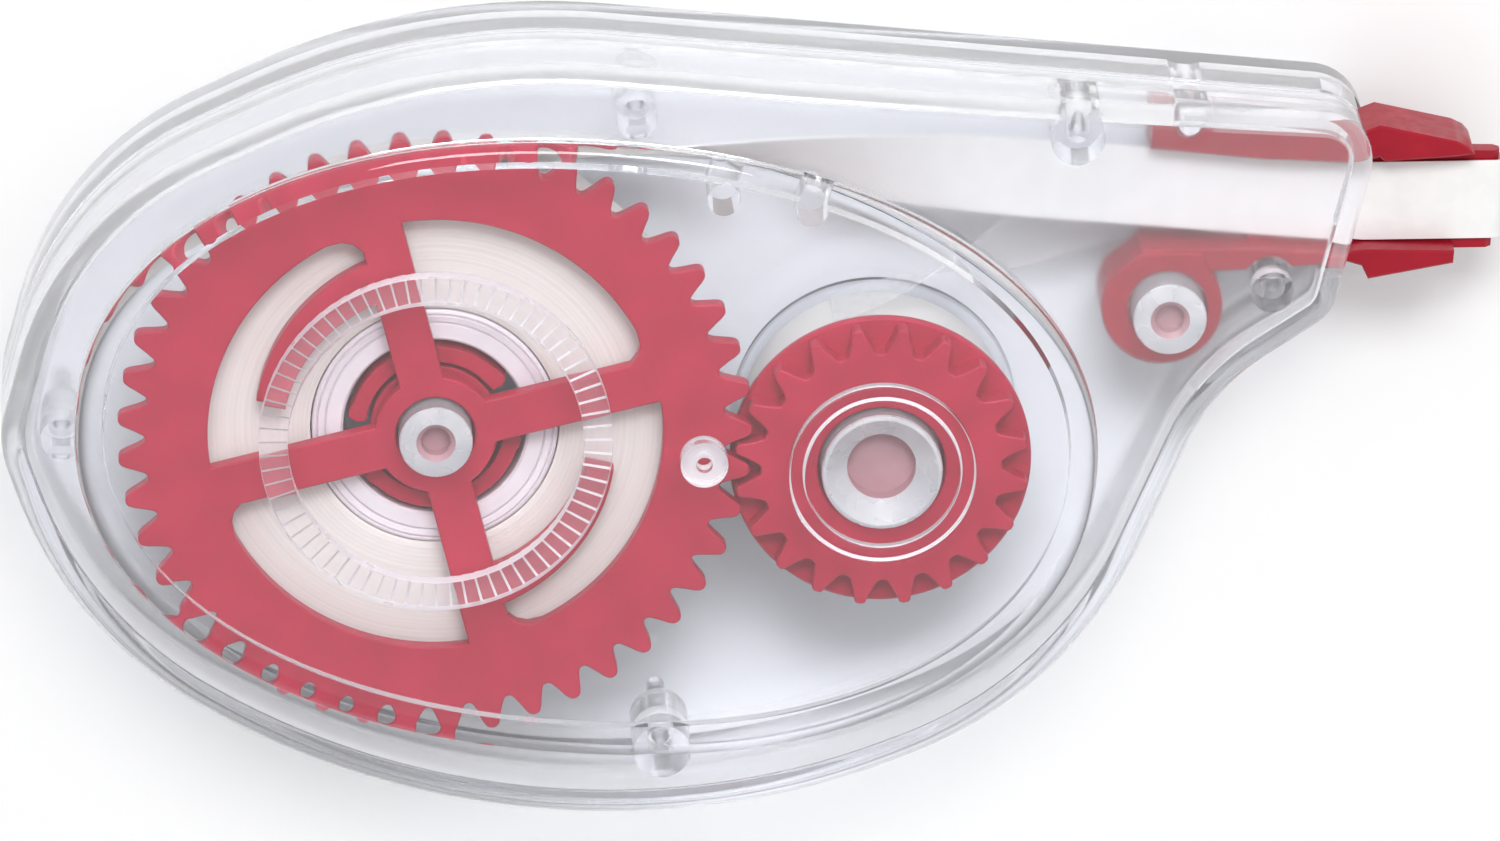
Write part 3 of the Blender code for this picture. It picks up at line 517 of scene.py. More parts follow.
def make_front_cover(materials):
    """Front shell with its window; materials: the clear skin and the six named below."""
    satin, frosted, painted_highlight, hazy, wall, teeth = range(1, 7)
    outline = resampled(filleted(CASE_CORNERS), CHORD)
    inner = inset(outline, WALL)
    lip = LIP_STEP - FIT
    low = SPLIT_Z + FIT
    bm = bmesh.new()
    side = [(inset(outline, i), CASE_DEPTH - z) for i, z in quarter(FRONT_FILLET)][1:]
    side += [(outline, low + 0.12), (inset(outline, 0.12), low), (inset(outline, lip), low),
             (inset(outline, lip), low + LIP_RISE + FIT), (inner, low + LIP_RISE + FIT),
             (inner, CASE_DEPTH - WALL - 0.5), (inset(inner, 0.15), CASE_DEPTH - WALL - 0.15)]
    loops = [face_skin(bm, inset(outline, FRONT_FILLET), CASE_DEPTH, outer_rim())]
    loops += [ring_verts(bm, pts, z) for pts, z in side]
    loops.append(face_skin(bm, inset(inner, 0.5), CASE_DEPTH - WALL, inner_rim()))
    for a, b in zip(loops, loops[1:]):
        bridge(bm, a, b)
    sink_front(bm)
    cover = make_object("front_cover", bm)

    posts = bmesh.new()
    pane = front_inside(0.0, True)
    add_ratchet(posts, pane)
    shift(posts, SUPPLY_AXIS)
    (r0, r1), z0, soft = COLLAR, COLLAR_FOOT, FOOT_ROUND
    z1 = front_inside(TAKEUP_AXIS[0], True) + PANE_ROOT
    add_lathe(posts, [(r0, z1), (r0, z0 + soft), (r0 + soft, z0), (r1 - soft, z0), (r1, z0 + soft),
                      (r1, z1)], TAKEUP_AXIS, 120)
    (r0, r1), z0, z1 = RETAINER_R, RETAINER_FOOT, pane + PANE_ROOT
    add_lathe(posts, [(r0, z1), (r0, z0), (r1 - soft, z0), (r1, z0 + soft), (r1, z1)], RETAINER, 48)
    for at in STUDS:
        add_rod(posts, STUD_R, at, STUD_FOOT, front_inside(at[0], True) + 0.3)
    add_rod(posts, TIP_PEG_R, TIP_PEG, SPLIT_Z + FIT, TIP_PEG_TOP)
    for at, r in BOSSES:
        socket, deep = PIN_R + FIT * 0.8, SPLIT_Z + SOCKET_RISE
        top = front_inside(at[0]) + PANE_ROOT
        add_turned(posts, [(socket, deep), (socket, SPLIT_Z + FIT), (r, SPLIT_Z + FIT), (r, top)],
                   at, 40)
    combine(cover, [("UNION", posts), ("DIFFERENCE", mouth())])

    slack = 0.05

    def past_window(x, y, z, normal):
        dx, dy = x - WINDOW_CENTRE[0], y - WINDOW_CENTRE[1]
        return (hypot(dx, dy) > window_reach(atan2(dy, dx)) - slack
                and z < CASE_DEPTH - face_drop(x) - slack)

    def satin_inside(x, y, z, normal):
        return past_window(x, y, z, normal) and normal.z < -0.9 and abs(z - front_inside(x)) < 0.3

    def small_post(x, y, z, normal):
        spots = [(at, STUD_R) for at in STUDS] + list(BOSSES) + [(TIP_PEG, TIP_PEG_R)]
        return (z < front_inside(x, True) - slack
                and any(hypot(x - at[0], y - at[1]) < r + 0.03 for at, r in spots))

    def retainer_end(x, y, z, normal):
        reach = hypot(x - RETAINER[0], y - RETAINER[1])
        return z < RETAINER_FOOT + 0.2 and reach < RETAINER_R[1] + slack

    def tooth_face(x, y, z, normal):
        r = hypot(x - SUPPLY_AXIS[0], y - SUPPLY_AXIS[1])
        return RATCHET[0] < r < RATCHET[1] and z < RATCHET_Z[1] and normal.z < -0.96

    # The ratchet's step faces and the collar's rounded foot take a whiter frosted skin: a painted
    # highlight for the bright lines these edges show.
    def painted_highlight_edge(x, y, z, normal):
        r = hypot(x - SUPPLY_AXIS[0], y - SUPPLY_AXIS[1])
        tooth = (RATCHET[0] - 0.1 < r < RATCHET[1] + 0.1 and z < pane - slack
                 and normal.z > -0.96)
        r = hypot(x - TAKEUP_AXIS[0], y - TAKEUP_AXIS[1])
        collar = (COLLAR[0] - 0.1 < r < COLLAR[1] + 0.1
                  and z < COLLAR_FOOT + FOOT_ROUND + 0.02 and normal.z > -0.97)
        return tooth or collar

    def case_wall(x, y, z, normal):
        return past_window(x, y, z, normal) and abs(normal.z) < 0.95

    paint(cover, hazy, past_window)
    paint(cover, wall, case_wall)
    paint(cover, satin, satin_inside)
    paint(cover, hazy, small_post)
    paint(cover, frosted, retainer_end)
    paint(cover, teeth, tooth_face)
    paint(cover, painted_highlight, painted_highlight_edge)
    return finish_piece(cover, materials, "case", "front_shell")


def add_ratchet(bm, pane):
    """Face ratchet: a ring of shallow saw teeth under the window, each with a steep back."""
    top, (low, high) = pane + PANE_ROOT, RATCHET_Z
    shares = ((0.0, low), (0.28, low + 0.3 * (high - low)), (0.56, low + 0.65 * (high - low)),
              (0.84, high))
    r0, r1 = RATCHET
    loops = []
    for r, under in ((r0, False), (r0, True), (r1, True), (r1, False)):
        loops.append([])
        for k in range(RATCHET_TEETH):
            for share, z in shares:
                spot = polar(r, 360.0 * (k + share) / RATCHET_TEETH)
                loops[-1].append(bm.verts.new((*spot, z if under else top)))
    for a, b in zip(loops, loops[1:] + loops[:1]):
        bridge(bm, a, b)


# --------------------------------------------------------------------------------- gears
def toothed(count, flank, first):
    """Gear outline: flank is (radius, half width as a share of the pitch), root to tip."""
    pitch = 360.0 / count
    half = flank + [(r, -s) for r, s in reversed(flank) if s > 0]
    return [polar(r, first + pitch * (k - s)) for k in range(count) for r, s in half]


def supply_outline():
    root, tip = SUPPLY_ROOT, SUPPLY_TIP
    flank = [(root, 0.5 - 0.04), (root + 0.07, 0.41), (root + 0.22, 0.365), (root + 0.75, 0.265),
             (root + 1.2, 0.195), (tip - 0.16, 0.135), (tip - 0.04, 0.075), (tip, 0.0)]
    return toothed(SUPPLY_TEETH, flank, SUPPLY_TOOTH_AT)


def takeup_outline():
    root, tip = TAKEUP_ROOT, TAKEUP_TIP
    flank = [(root, 0.42), (root + 0.08, 0.365), (root + 0.25, 0.32), (root + 0.8, 0.21),
             (tip - 0.12, 0.12), (tip, 0.06)]
    return toothed(TAKEUP_TEETH, flank, meshed_tooth())


def meshed_tooth():
    """Direction of a take-up tooth that leaves a gap where the supply tooth comes in."""
    dx, dy = TAKEUP_AXIS[0] - SUPPLY_AXIS[0], TAKEUP_AXIS[1] - SUPPLY_AXIS[1]
    line = atan2(dy, dx) * 180 / pi
    pitch = 360.0 / SUPPLY_TEETH
    off = (SUPPLY_TOOTH_AT - line + pitch / 2) % pitch - pitch / 2
    gap = line + 180.0 - off * SUPPLY_TEETH / TAKEUP_TEETH
    return gap + 180.0 / TAKEUP_TEETH


def spoke_window(start, end, pawl):
    """Opening between two spokes; with a pawl, its arm is left standing in the opening."""
    half = SPOKE_WIDTH / 2

    def edge(r, spoke, side):
        return spoke + side * (180 / pi) * asin(half / r)

    s_in, s_out = edge(WINDOW_IN, start, 1), edge(WINDOW_OUT, start, 1)
    e_in, e_out = edge(WINDOW_IN, end, -1), edge(WINDOW_OUT, end, -1)
    loop = []
    if pawl:
        loop += [polar(PAWL_ROOT, edge(PAWL_ROOT, start, 1))]
    else:
        loop += [polar(WINDOW_IN, s_in)]
    corner = 2.0
    loop += [polar(WINDOW_OUT - corner, edge(WINDOW_OUT - corner, start, 1))]
    loop += [polar(WINDOW_OUT - back, s_out + on)
             for back, on in ((1.2, 0.6), (0.6, 2.3), (0.2, 4.8))]
    loop += arc(WINDOW_OUT, s_out + 8.5, e_out)
    loop += [polar(WINDOW_IN, e_in)]
    if not pawl:
        loop += arc(WINDOW_IN, e_in, s_in, 6.0)[1:-1]
    if pawl:
        loop += arc(WINDOW_IN, e_in, s_in, 6.0)[1:]
        root = edge(PAWL_IN, start, 1)
        loop += arc(PAWL_IN, root, start + PAWL_SWEEP)
        n = 30
        for k in range(n):
            t = k / n
            r = PAWL_END + (PAWL_ROOT - PAWL_END) * t
            loop.append(polar(r, start + PAWL_SWEEP * (1 - t) + edge(PAWL_ROOT, start, 1) * t
                              - start * t))
    return loop


def make_supply_wheel(materials):
    bm = bmesh.new()
    windows = [spoke_window(SPOKE_AT + 90 * k, SPOKE_AT + 90 * (k + 1), k in (1, 3))
               for k in range(4)]
    bore, outside = SUPPLY_HUB
    add_prism(bm, [supply_outline()] + windows + [circle(bore, n=64)], *GEAR_Z, MOULD_EDGE)
    shift(bm, SUPPLY_AXIS)
    wheel = make_object("supply_wheel", bm)

    hub = bmesh.new()
    top = GEAR_Z[0] + 0.2
    add_lathe(hub, [(bore, HUB_FOOT), (outside, HUB_FOOT), (outside, top), (bore, top)], n=64)
    for k in (1, 3):
        end = SPOKE_AT + 90 * k + PAWL_SWEEP
        first, last = end - PAWL_PAD[0], end - PAWL_PAD[1]
        pad = arc(PAWL_END - PAD_MARGIN, first, last) + arc(PAWL_IN + PAD_MARGIN, last, first)
        add_prism(hub, [pad], GEAR_Z[1] - 0.3, GEAR_Z[1] + PAD_MARGIN)
    shift(hub, SUPPLY_AXIS)
    combine(wheel, [("UNION", hub)])
    return finish_piece(wheel, materials, "supply_drive", "supply_gear")


def make_takeup_wheel(materials):
    bm = bmesh.new()
    add_prism(bm, [takeup_outline(), circle(TAKEUP_HUB[0])], TAKEUP_FLANGE_Z[1] - 0.2,
              TAKEUP_FACE_Z, MOULD_EDGE)
    shift(bm, TAKEUP_AXIS)
    wheel = make_object("takeup_wheel", bm)

    hub = bmesh.new()
    bore, outside = TAKEUP_HUB
    low, high = TAKEUP_FLANGE_Z
    soft = 0.15
    add_lathe(hub, [(bore, TAKEUP_ROLL_Z - 0.2), (outside, TAKEUP_ROLL_Z - 0.2), (outside, low),
                    (TAKEUP_FLANGE - soft, low), (TAKEUP_FLANGE, low + soft),
                    (TAKEUP_FLANGE, high - soft), (TAKEUP_FLANGE - soft, high), (bore, high)],
              TAKEUP_AXIS, 120)
    combine(wheel, [("UNION", hub)])
    return finish_piece(wheel, materials, "takeup_reel", "takeup_gear")


def make_slip_spring(materials):
    """Slipping clutch: a ring with four spring arms that rub inside the reel core."""
    ring, arm_in, arm_out = 3.95, 4.2, 5.2
    spoke = SPOKE_AT + 90
    loop = []
    for base, sign in ((spoke, -1), (spoke, 1), (spoke + 180, -1), (spoke + 180, 1)):
        sweep = arc(arm_out, 0, 58, 3.0) + [polar(arm_out + 0.12, 62), polar(arm_out + 0.12, 68),
                                            polar(arm_out - 0.25, 71), polar(arm_in + 0.1, 71)]
        sweep += arc(arm_in, 68, 16, 3.0) + arc(ring, 16, 90, 5.0)
        turned = []
        for x, y in sweep:
            r, a = hypot(x, y), atan2(y, x) * 180 / pi
            turned.append(polar(r, base + sign * a))
        if sign < 0:
            turned.reverse()
        loop += turned[:-1] if sign < 0 else turned[1:-1]
    bm = bmesh.new()
    add_prism(bm, [loop, circle(SUPPLY_HUB[1] + FIT, n=64)], *CLUTCH_Z, 0.06)
    shift(bm, SUPPLY_AXIS)
    spring = make_object("slip_spring", bm)
    return finish_piece(spring, materials, "supply_drive", "clutch_spring_ring")


# --------------------------------------------------------------------------------- reels
def make_reel_core(materials):
    """White core whose end carries two fine grooves."""
    r0, r1 = CORE
    z0, z1 = CORE_Z
    profile = [(r0, z0), (r1 - 0.15, z0), (r1, z0 + 0.15), (r1, z1 - 0.25), (r1 - 0.12, z1 - 0.12)]
    for groove in (7.2, 6.7):
        profile += [(groove + 0.08, z1 - 0.1), (groove, z1 - 0.3), (groove - 0.08, z1 - 0.05)]
    profile += [(r0 + 0.15, z1), (r0, z1 - 0.15)]
    bm = bmesh.new()
    add_lathe(bm, profile, SUPPLY_AXIS)
    core = make_object("reel_core", bm)
    return finish_piece(core, materials, "supply_spool", "supply_core", smooth=25.0)


def make_wound(name, materials, radii, z0, z1, axis, body, stands_for):
    """Wound tape: a tube whose end faces ripple slightly where the turns lie unevenly."""
    r0, r1 = radii
    edge = 0.12
    turns = int((r1 - r0 - 2 * edge) / 0.4)
    face = []
    for k in range(turns + 1):
        r = r1 - edge - (r1 - r0 - 2 * edge) * k / turns
        face.append((r, 0.02 * sin(2.3 * k) * sin(0.7 * k + 1.0)))
    profile = [(r0, z0 + edge)] + [(r, z0 + 0.03 + d) for r, d in reversed(face)]
    profile += [(r1, z0 + edge), (r1, z1 - edge)]
    profile += [(r, z1 - 0.03 - d) for r, d in face] + [(r0, z1 - edge)]
    bm = bmesh.new()
    add_lathe(bm, profile, axis, 128)
    roll = make_object(name, bm)
    return finish_piece(roll, materials, body, stands_for, smooth=40.0)


def make_reel_disc(materials):
    r0, r1, z0, z1 = REAR_FLANGE
    soft = 0.12
    bm = bmesh.new()
    add_lathe(bm, [(r0, z0 + soft), (r0 + soft, z0), (r1 - soft, z0), (r1, z0 + soft),
                   (r1, z1 - soft), (r1 - soft, z1), (r0 + soft, z1), (r0, z1 - soft)],
              TAKEUP_AXIS)
    disc = make_object("reel_disc", bm)
    return finish_piece(disc, materials, "takeup_reel", "takeup_rear_flange")


# ------------------------------------------------------------------------- tip and tape
def neck_point(x, across):
    """Plan point `across` above the tape's middle line at position x."""
    if x >= LEVEL_X:
        return (x, TIP_MID_Y + across)
    y = TIP_MID_Y + (x - LEVEL_X) * sin(NECK_SLOPE) / cos(NECK_SLOPE)
    return (x - across * sin(NECK_SLOPE), y + across * cos(NECK_SLOPE))


def make_tip_head(materials):
    """Applicator tip: a thin blade between two guide rails, and an eye round its post."""
    lean = TIP_END_LEAN
    bm = bmesh.new()
    blade = [neck_point(50.0, -3.6), (57.0, 8.75), (TIP_END_X - 3.2 * lean, 8.75),
             (TIP_END_X + 3.0 * lean, 15.0), (57.5, 15.2), neck_point(50.0, 3.6)]
    edge = 0.35
    nose = [(x - edge if x > 60 else x, y) for x, y in blade]
    add_loft(bm, [(nose, BLADE_Z[0]), (blade, BLADE_Z[0] + edge), (blade, BLADE_Z[1] - edge),
                  (nose, BLADE_Z[1])])
    head = make_object("tip_head", bm)

    upper = [neck_point(43.3, 2.95), neck_point(50.0, 2.85), neck_point(56.6, 3.1),
             (57.7, 15.3), (58.0, 15.0), (62.2, 15.25), (63.5, 15.4), (63.1, 15.9),
             (62.4, 16.25), (57.7, 17.35), (56.8, 17.0), neck_point(43.3, 4.55)]
    lower = [neck_point(43.5, -3.6), neck_point(44.5, -5.0), neck_point(49.5, -4.4),
             (55.6, 8.65), (56.7, 8.3), (57.1, 7.45), (62.3, 8.4), (62.35, 9.2), (57.0, 9.35),
             neck_point(56.0, -2.8), neck_point(49.5, -2.95)]
    steps = []
    for plan in (upper, lower):
        rail = bmesh.new()
        add_prism(rail, [plan], *RAIL_Z, 0.12)
        steps.append(("UNION", rail))
    eye_loop = arc(3.7, 150, 395, 3.0, (TIP_POST[0] - 0.35, TIP_POST[1] + 0.1))
    eye_loop += [neck_point(47.2, -3.4), neck_point(43.6, -3.7)]
    eye = bmesh.new()
    add_prism(eye, [eye_loop], RAIL_Z[0] + 0.4, RAIL_Z[1] + 0.2, 0.15)
    steps.append(("UNION", eye))
    holes = bmesh.new()
    through = (2.0, 12.0)          # from below the rails to above them
    add_rod(holes, SPINDLE[1] + 0.2, TIP_POST, *through)
    add_rod(holes, TIP_PEG_R + FIT, TIP_PEG, *through)
    for at, r in BOSSES:
        if at[0] > 40.0:
            add_rod(holes, r + FIT, at, *through)
    steps.append(("DIFFERENCE", holes))
    combine(head, steps)
    return finish_piece(head, materials, "case", "applicator_tip")


def ribbon(name, stations, across=6):
    """Thin tape through (point, width direction) stations, cupped very slightly."""
    bm = bmesh.new()
    rings = []
    n = len(stations)
    for i, (p, wide) in enumerate(stations):
        along = (stations[min(i + 1, n - 1)][0] - stations[max(i - 1, 0)][0]).normalized()
        wide = (wide - along * wide.dot(along)).normalized()
        thick = along.cross(wide)
        top, under = [], []
        for k in range(across + 1):
            s = 2 * k / across - 1
            spot = p + wide * (s * TAPE_WIDTH / 2) - thick * (0.03 * s * s)
            top.append(bm.verts.new(spot + thick * (TAPE_THICK / 2)))
            under.append(bm.verts.new(spot - thick * (TAPE_THICK / 2)))
        rings.append(top + under[::-1])
    for a, b in zip(rings, rings[1:]):
        bridge(bm, a, b)
    bm.faces.new(rings[0])
    bm.faces.new(rings[-1])
    return make_object(name, bm)


def ease(t):
    t = min(max(t, 0.0), 1.0)
    return t * t * (3 - 2 * t)


def leaning(heading, degrees):
    """Width direction of a tape running along `heading`, 0 lying flat, 90 on edge."""
    side = Vector((-heading.y, heading.x, 0.0)).normalized()
    return side * cos(radians(degrees)) + Vector((0, 0, 1)) * sin(radians(degrees))


def tape_stations():
    """From the top of the supply roll to the nose of the tip and round it."""
    start = polar(SUPPLY_ROLL[1] + FIT, TAPE_LEAVES_AT, SUPPLY_AXIS)
    heading = Vector((1.0, 0.0, 0.0))
    high, low = ROLL_Z + TAPE_WIDTH / 2, BLADE_Z[1] + TAPE_GAP
    nose_x = TIP_END_X - TAPE_GAP
    in_line, down, turn_from, turn_over = 0.45, 0.7, 0.06, 0.52     # shares of the run
    out = []
    n = 90
    for k in range(n + 1):
        t = k / n
        x = start[0] + (nose_x - start[0]) * t
        line_y = neck_point(x, 0.0)[1]
        y = start[1] + (line_y - start[1]) * ease(t / in_line)
        z = high + (low - high) * ease(t / down)
        lean = 90.0 * (1 - ease((t - turn_from) / turn_over))
        out.append((Vector((x, y, z)), leaning(heading, lean)))
    mid = sum(BLADE_Z) / 2
    side = Vector((TIP_END_LEAN, 1.0, 0.0)).normalized()
    turns = 12
    for k in range(1, turns + 1):
        a = pi * k / turns
        turn = heading * ((low - mid) * sin(a))
        base = Vector((nose_x, TIP_MID_Y, mid + (low - mid) * cos(a)))
        out.append((base + turn, side))
    out[n] = (out[n][0], side)
    return out


def film_stations():
    """Spent film from under the tip back to the top of the take-up roll."""
    heading = Vector((cos(NECK_SLOPE), sin(NECK_SLOPE), 0.0))
    start = Vector((TIP_END_X - 1.5, TIP_MID_Y, BLADE_Z[0] - TAPE_GAP))
    bend = Vector((*neck_point(LEVEL_X - 1.0, 0.0), start.z - 0.3))
    knee = Vector((*neck_point(FILM_KNEE_X, 0.0), WALL + 1.5))
    r = TAKEUP_ROLL[1] + FIT
    away = knee.xy - Vector(TAKEUP_AXIS)
    touch = atan2(away.y, away.x) + acos(r / away.length)
    finish = Vector((*polar(r, touch * 180 / pi, TAKEUP_AXIS), TAKEUP_ROLL_Z + TAPE_WIDTH / 2))
    out = []
    for k in range(4):
        out.append((start.lerp(bend, k / 4), leaning(Vector((1, 0, 0)), 0.0)))
    steps = 20
    for k in range(steps + 1):
        p = bend.lerp(knee, k / steps)
        p.z = bend.z + (knee.z - bend.z) * ease(k / steps)
        out.append((p, leaning(heading, 0.0)))
    back = (knee - finish).normalized()
    steps = 40
    for k in range(1, steps + 1):
        t = k / steps
        p = knee.lerp(finish, t)
        lean = 90.0 * ease((t - 0.2) / 0.75)
        p.z = knee.z + (finish.z - knee.z) * sin(radians(lean))
        out.append((p, leaning(heading.lerp(back, ease(t / 0.4)).normalized(), lean)))
    return out


def make_tapes(tape_look, film_look):
    tape = ribbon("tape_strip", tape_stations())
    finish_piece(tape, [tape_look], "case", "correction_tape", smooth=60.0)
    film = ribbon("used_film", film_stations())
    finish_piece(film, [film_look], "case", "spent_film", smooth=60.0)


# ----------------------------------------------------------------------------- materials
class Look:
    """A Principled material with small helpers for its procedural detail."""
    MIDDLE = (0.3, 0.7)            # the part of a noise's range that is used

    def __init__(self, name, colour, rough, **sockets):
        self.mat = bpy.data.materials.new(name)
        self.mat.use_nodes = True
        self.nodes = self.mat.node_tree.nodes
        self.links = self.mat.node_tree.links
        self.shader = self.nodes["Principled BSDF"]
        self.shader.inputs["Base Color"].default_value = (*colour, 1.0)
        self.shader.inputs["Roughness"].default_value = rough
        for socket, value in sockets.items():
            self.shader.inputs[socket.replace("_", " ")].default_value = value
        self.coord = self.nodes.new("ShaderNodeTexCoord").outputs["Object"]

    def noise(self, size_mm, detail=3.0):
        """Noise with features of about the given size."""
        node = self.nodes.new("ShaderNodeTexNoise")
        node.inputs["Scale"].default_value = 1.0 / (size_mm * MM)
        node.inputs["Detail"].default_value = detail
        self.links.new(self.coord, node.inputs["Vector"])
        return node.outputs["Fac"]

    def noise_along(self, value, scale, detail):
        """Noise over a single number."""
        node = self.nodes.new("ShaderNodeTexNoise")
        node.noise_dimensions = "1D"
        node.inputs["Scale"].default_value = scale
        node.inputs["Detail"].default_value = detail
        self.links.new(value, node.inputs["W"])
        return node.outputs["Fac"]

    def spread(self, source, low, high):
        """Stretch the middle of a 0..1 value over low..high."""
        node = self.nodes.new("ShaderNodeMapRange")
        node.inputs["From Min"].default_value = self.MIDDLE[0]
        node.inputs["From Max"].default_value = self.MIDDLE[1]
        node.inputs["To Min"].default_value = low
        node.inputs["To Max"].default_value = high
        self.links.new(source, node.inputs["Value"])
        return node.outputs["Result"]

    def colours(self, source, first, second):
        ramp = self.nodes.new("ShaderNodeValToRGB")
        for stop, position, colour in zip(ramp.color_ramp.elements, self.MIDDLE, (first, second)):
            stop.position = position
            stop.color = (*colour, 1.0)
        self.links.new(source, ramp.inputs["Fac"])
        self.links.new(ramp.outputs["Color"], self.shader.inputs["Base Color"])

    def rough(self, source, low, high):
        self.links.new(self.spread(source, low, high), self.shader.inputs["Roughness"])

    def bump(self, source, height_mm):
        node = self.nodes.new("ShaderNodeBump")
        node.inputs["Strength"].default_value = 1.0
        node.inputs["Distance"].default_value = height_mm * MM
        self.links.new(source, node.inputs["Height"])
        self.links.new(node.outputs["Normal"], self.shader.inputs["Normal"])

    def let_lamps_through(self, tint):
        """Shadows of clear plastic are faint, and a lamp reaches what is behind it."""
        path = self.nodes.new("ShaderNodeLightPath")
        through = self.nodes.new("ShaderNodeBsdfTransparent")
        through.inputs["Color"].default_value = (*tint, 1.0)
        mix = self.nodes.new("ShaderNodeMixShader")
        self.links.new(path.outputs["Is Shadow Ray"], mix.inputs["Fac"])
        self.links.new(self.shader.outputs["BSDF"], mix.inputs[1])
        self.links.new(through.outputs["BSDF"], mix.inputs[2])
        self.links.new(mix.outputs["Shader"], self.nodes["Material Output"].inputs["Surface"])

    def from_axis(self, centre, size_mm):
        """Noise over the distance from an upright axis, so that it makes concentric turns."""
        flat = self.nodes.new("ShaderNodeVectorMath")
        flat.operation = "MULTIPLY"
        flat.inputs[1].default_value = (1.0, 1.0, 0.0)
        self.links.new(self.coord, flat.inputs[0])
        reach = self.nodes.new("ShaderNodeVectorMath")
        reach.operation = "DISTANCE"
        reach.inputs[1].default_value = in_frame(*centre, 0.0)
        self.links.new(flat.outputs["Vector"], reach.inputs[0])
        return self.noise_along(reach.outputs["Value"], 1.0 / (size_mm * MM), 2.0)

    def round_axis(self, centre, turns):
        """Noise over the direction from an upright axis, so that it makes radial streaks."""
        moved = self.nodes.new("ShaderNodeVectorMath")
        moved.operation = "SUBTRACT"
        moved.inputs[1].default_value = in_frame(*centre, 0.0)
        self.links.new(self.coord, moved.inputs[0])
        split = self.nodes.new("ShaderNodeSeparateXYZ")
        self.links.new(moved.outputs["Vector"], split.inputs["Vector"])
        angle = self.nodes.new("ShaderNodeMath")
        angle.operation = "ARCTAN2"
        self.links.new(split.outputs["Y"], angle.inputs[0])
        self.links.new(split.outputs["X"], angle.inputs[1])
        return self.noise_along(angle.outputs["Value"], turns, 1.0)


def clear_plastic(name, low, high, haze=0.0, wave_mm=0.004):
    """Clear moulded polystyrene with a faint flow ripple and, in places, a little haze."""
    look = Look(name, (0.938, 0.943, 0.960), low, IOR=1.5, Transmission_Weight=1.0 - haze)
    look.rough(look.noise(3.0), low, high)
    look.bump(look.noise(6.0, 1.0), wave_mm)
    look.let_lamps_through((0.85, 0.855, 0.87))
    return look.mat


def frosted_plastic(name, low, high, clear, axis=None):
    """The same plastic with a blasted skin that scatters light, with streaks out from an axis."""
    look = Look(name, (0.92, 0.90, 0.93), low, IOR=1.5, Transmission_Weight=clear)
    if axis:
        look.colours(look.round_axis(axis, 0.8), (0.80, 0.80, 0.84), (0.98, 0.97, 0.98))
    look.rough(look.noise(1.5, 1.0), low, high)
    look.bump(look.noise(1.5, 1.0), 0.004)
    look.let_lamps_through((0.88, 0.88, 0.89))
    return look.mat


def red_plastic(name, deep, bright):
    """Opaque moulded plastic with a satin skin."""
    look = Look(name, bright, 0.35, IOR=1.5, Specular_IOR_Level=0.22)
    look.colours(look.noise(2.5), deep, bright)
    look.rough(look.noise(0.8), 0.28, 0.42)
    look.bump(look.noise(0.12), 0.002)
    return look.mat


def wound_tape(name, first, second, axis):
    """Cut edges of many turns of tape."""
    look = Look(name, first, 0.6)
    turns = look.from_axis(axis, 0.22)
    look.colours(turns, first, second)
    look.rough(look.noise(0.5), 0.5, 0.7)
    look.bump(turns, 0.02)
    return look.mat


def chalky(name, first, second, rough, grain_mm):
    look = Look(name, first, rough)
    look.colours(look.noise(grain_mm * 8), first, second)
    look.rough(look.noise(grain_mm * 3), rough - 0.08, rough + 0.08)
    look.bump(look.noise(grain_mm), 0.003)
    return look.mat


def used_film(name):
    look = Look(name, (0.93, 0.94, 0.95), 0.2, Alpha=0.22)
    look.rough(look.noise(0.6), 0.15, 0.35)
    look.bump(look.noise(1.5), 0.01)
    return look.mat


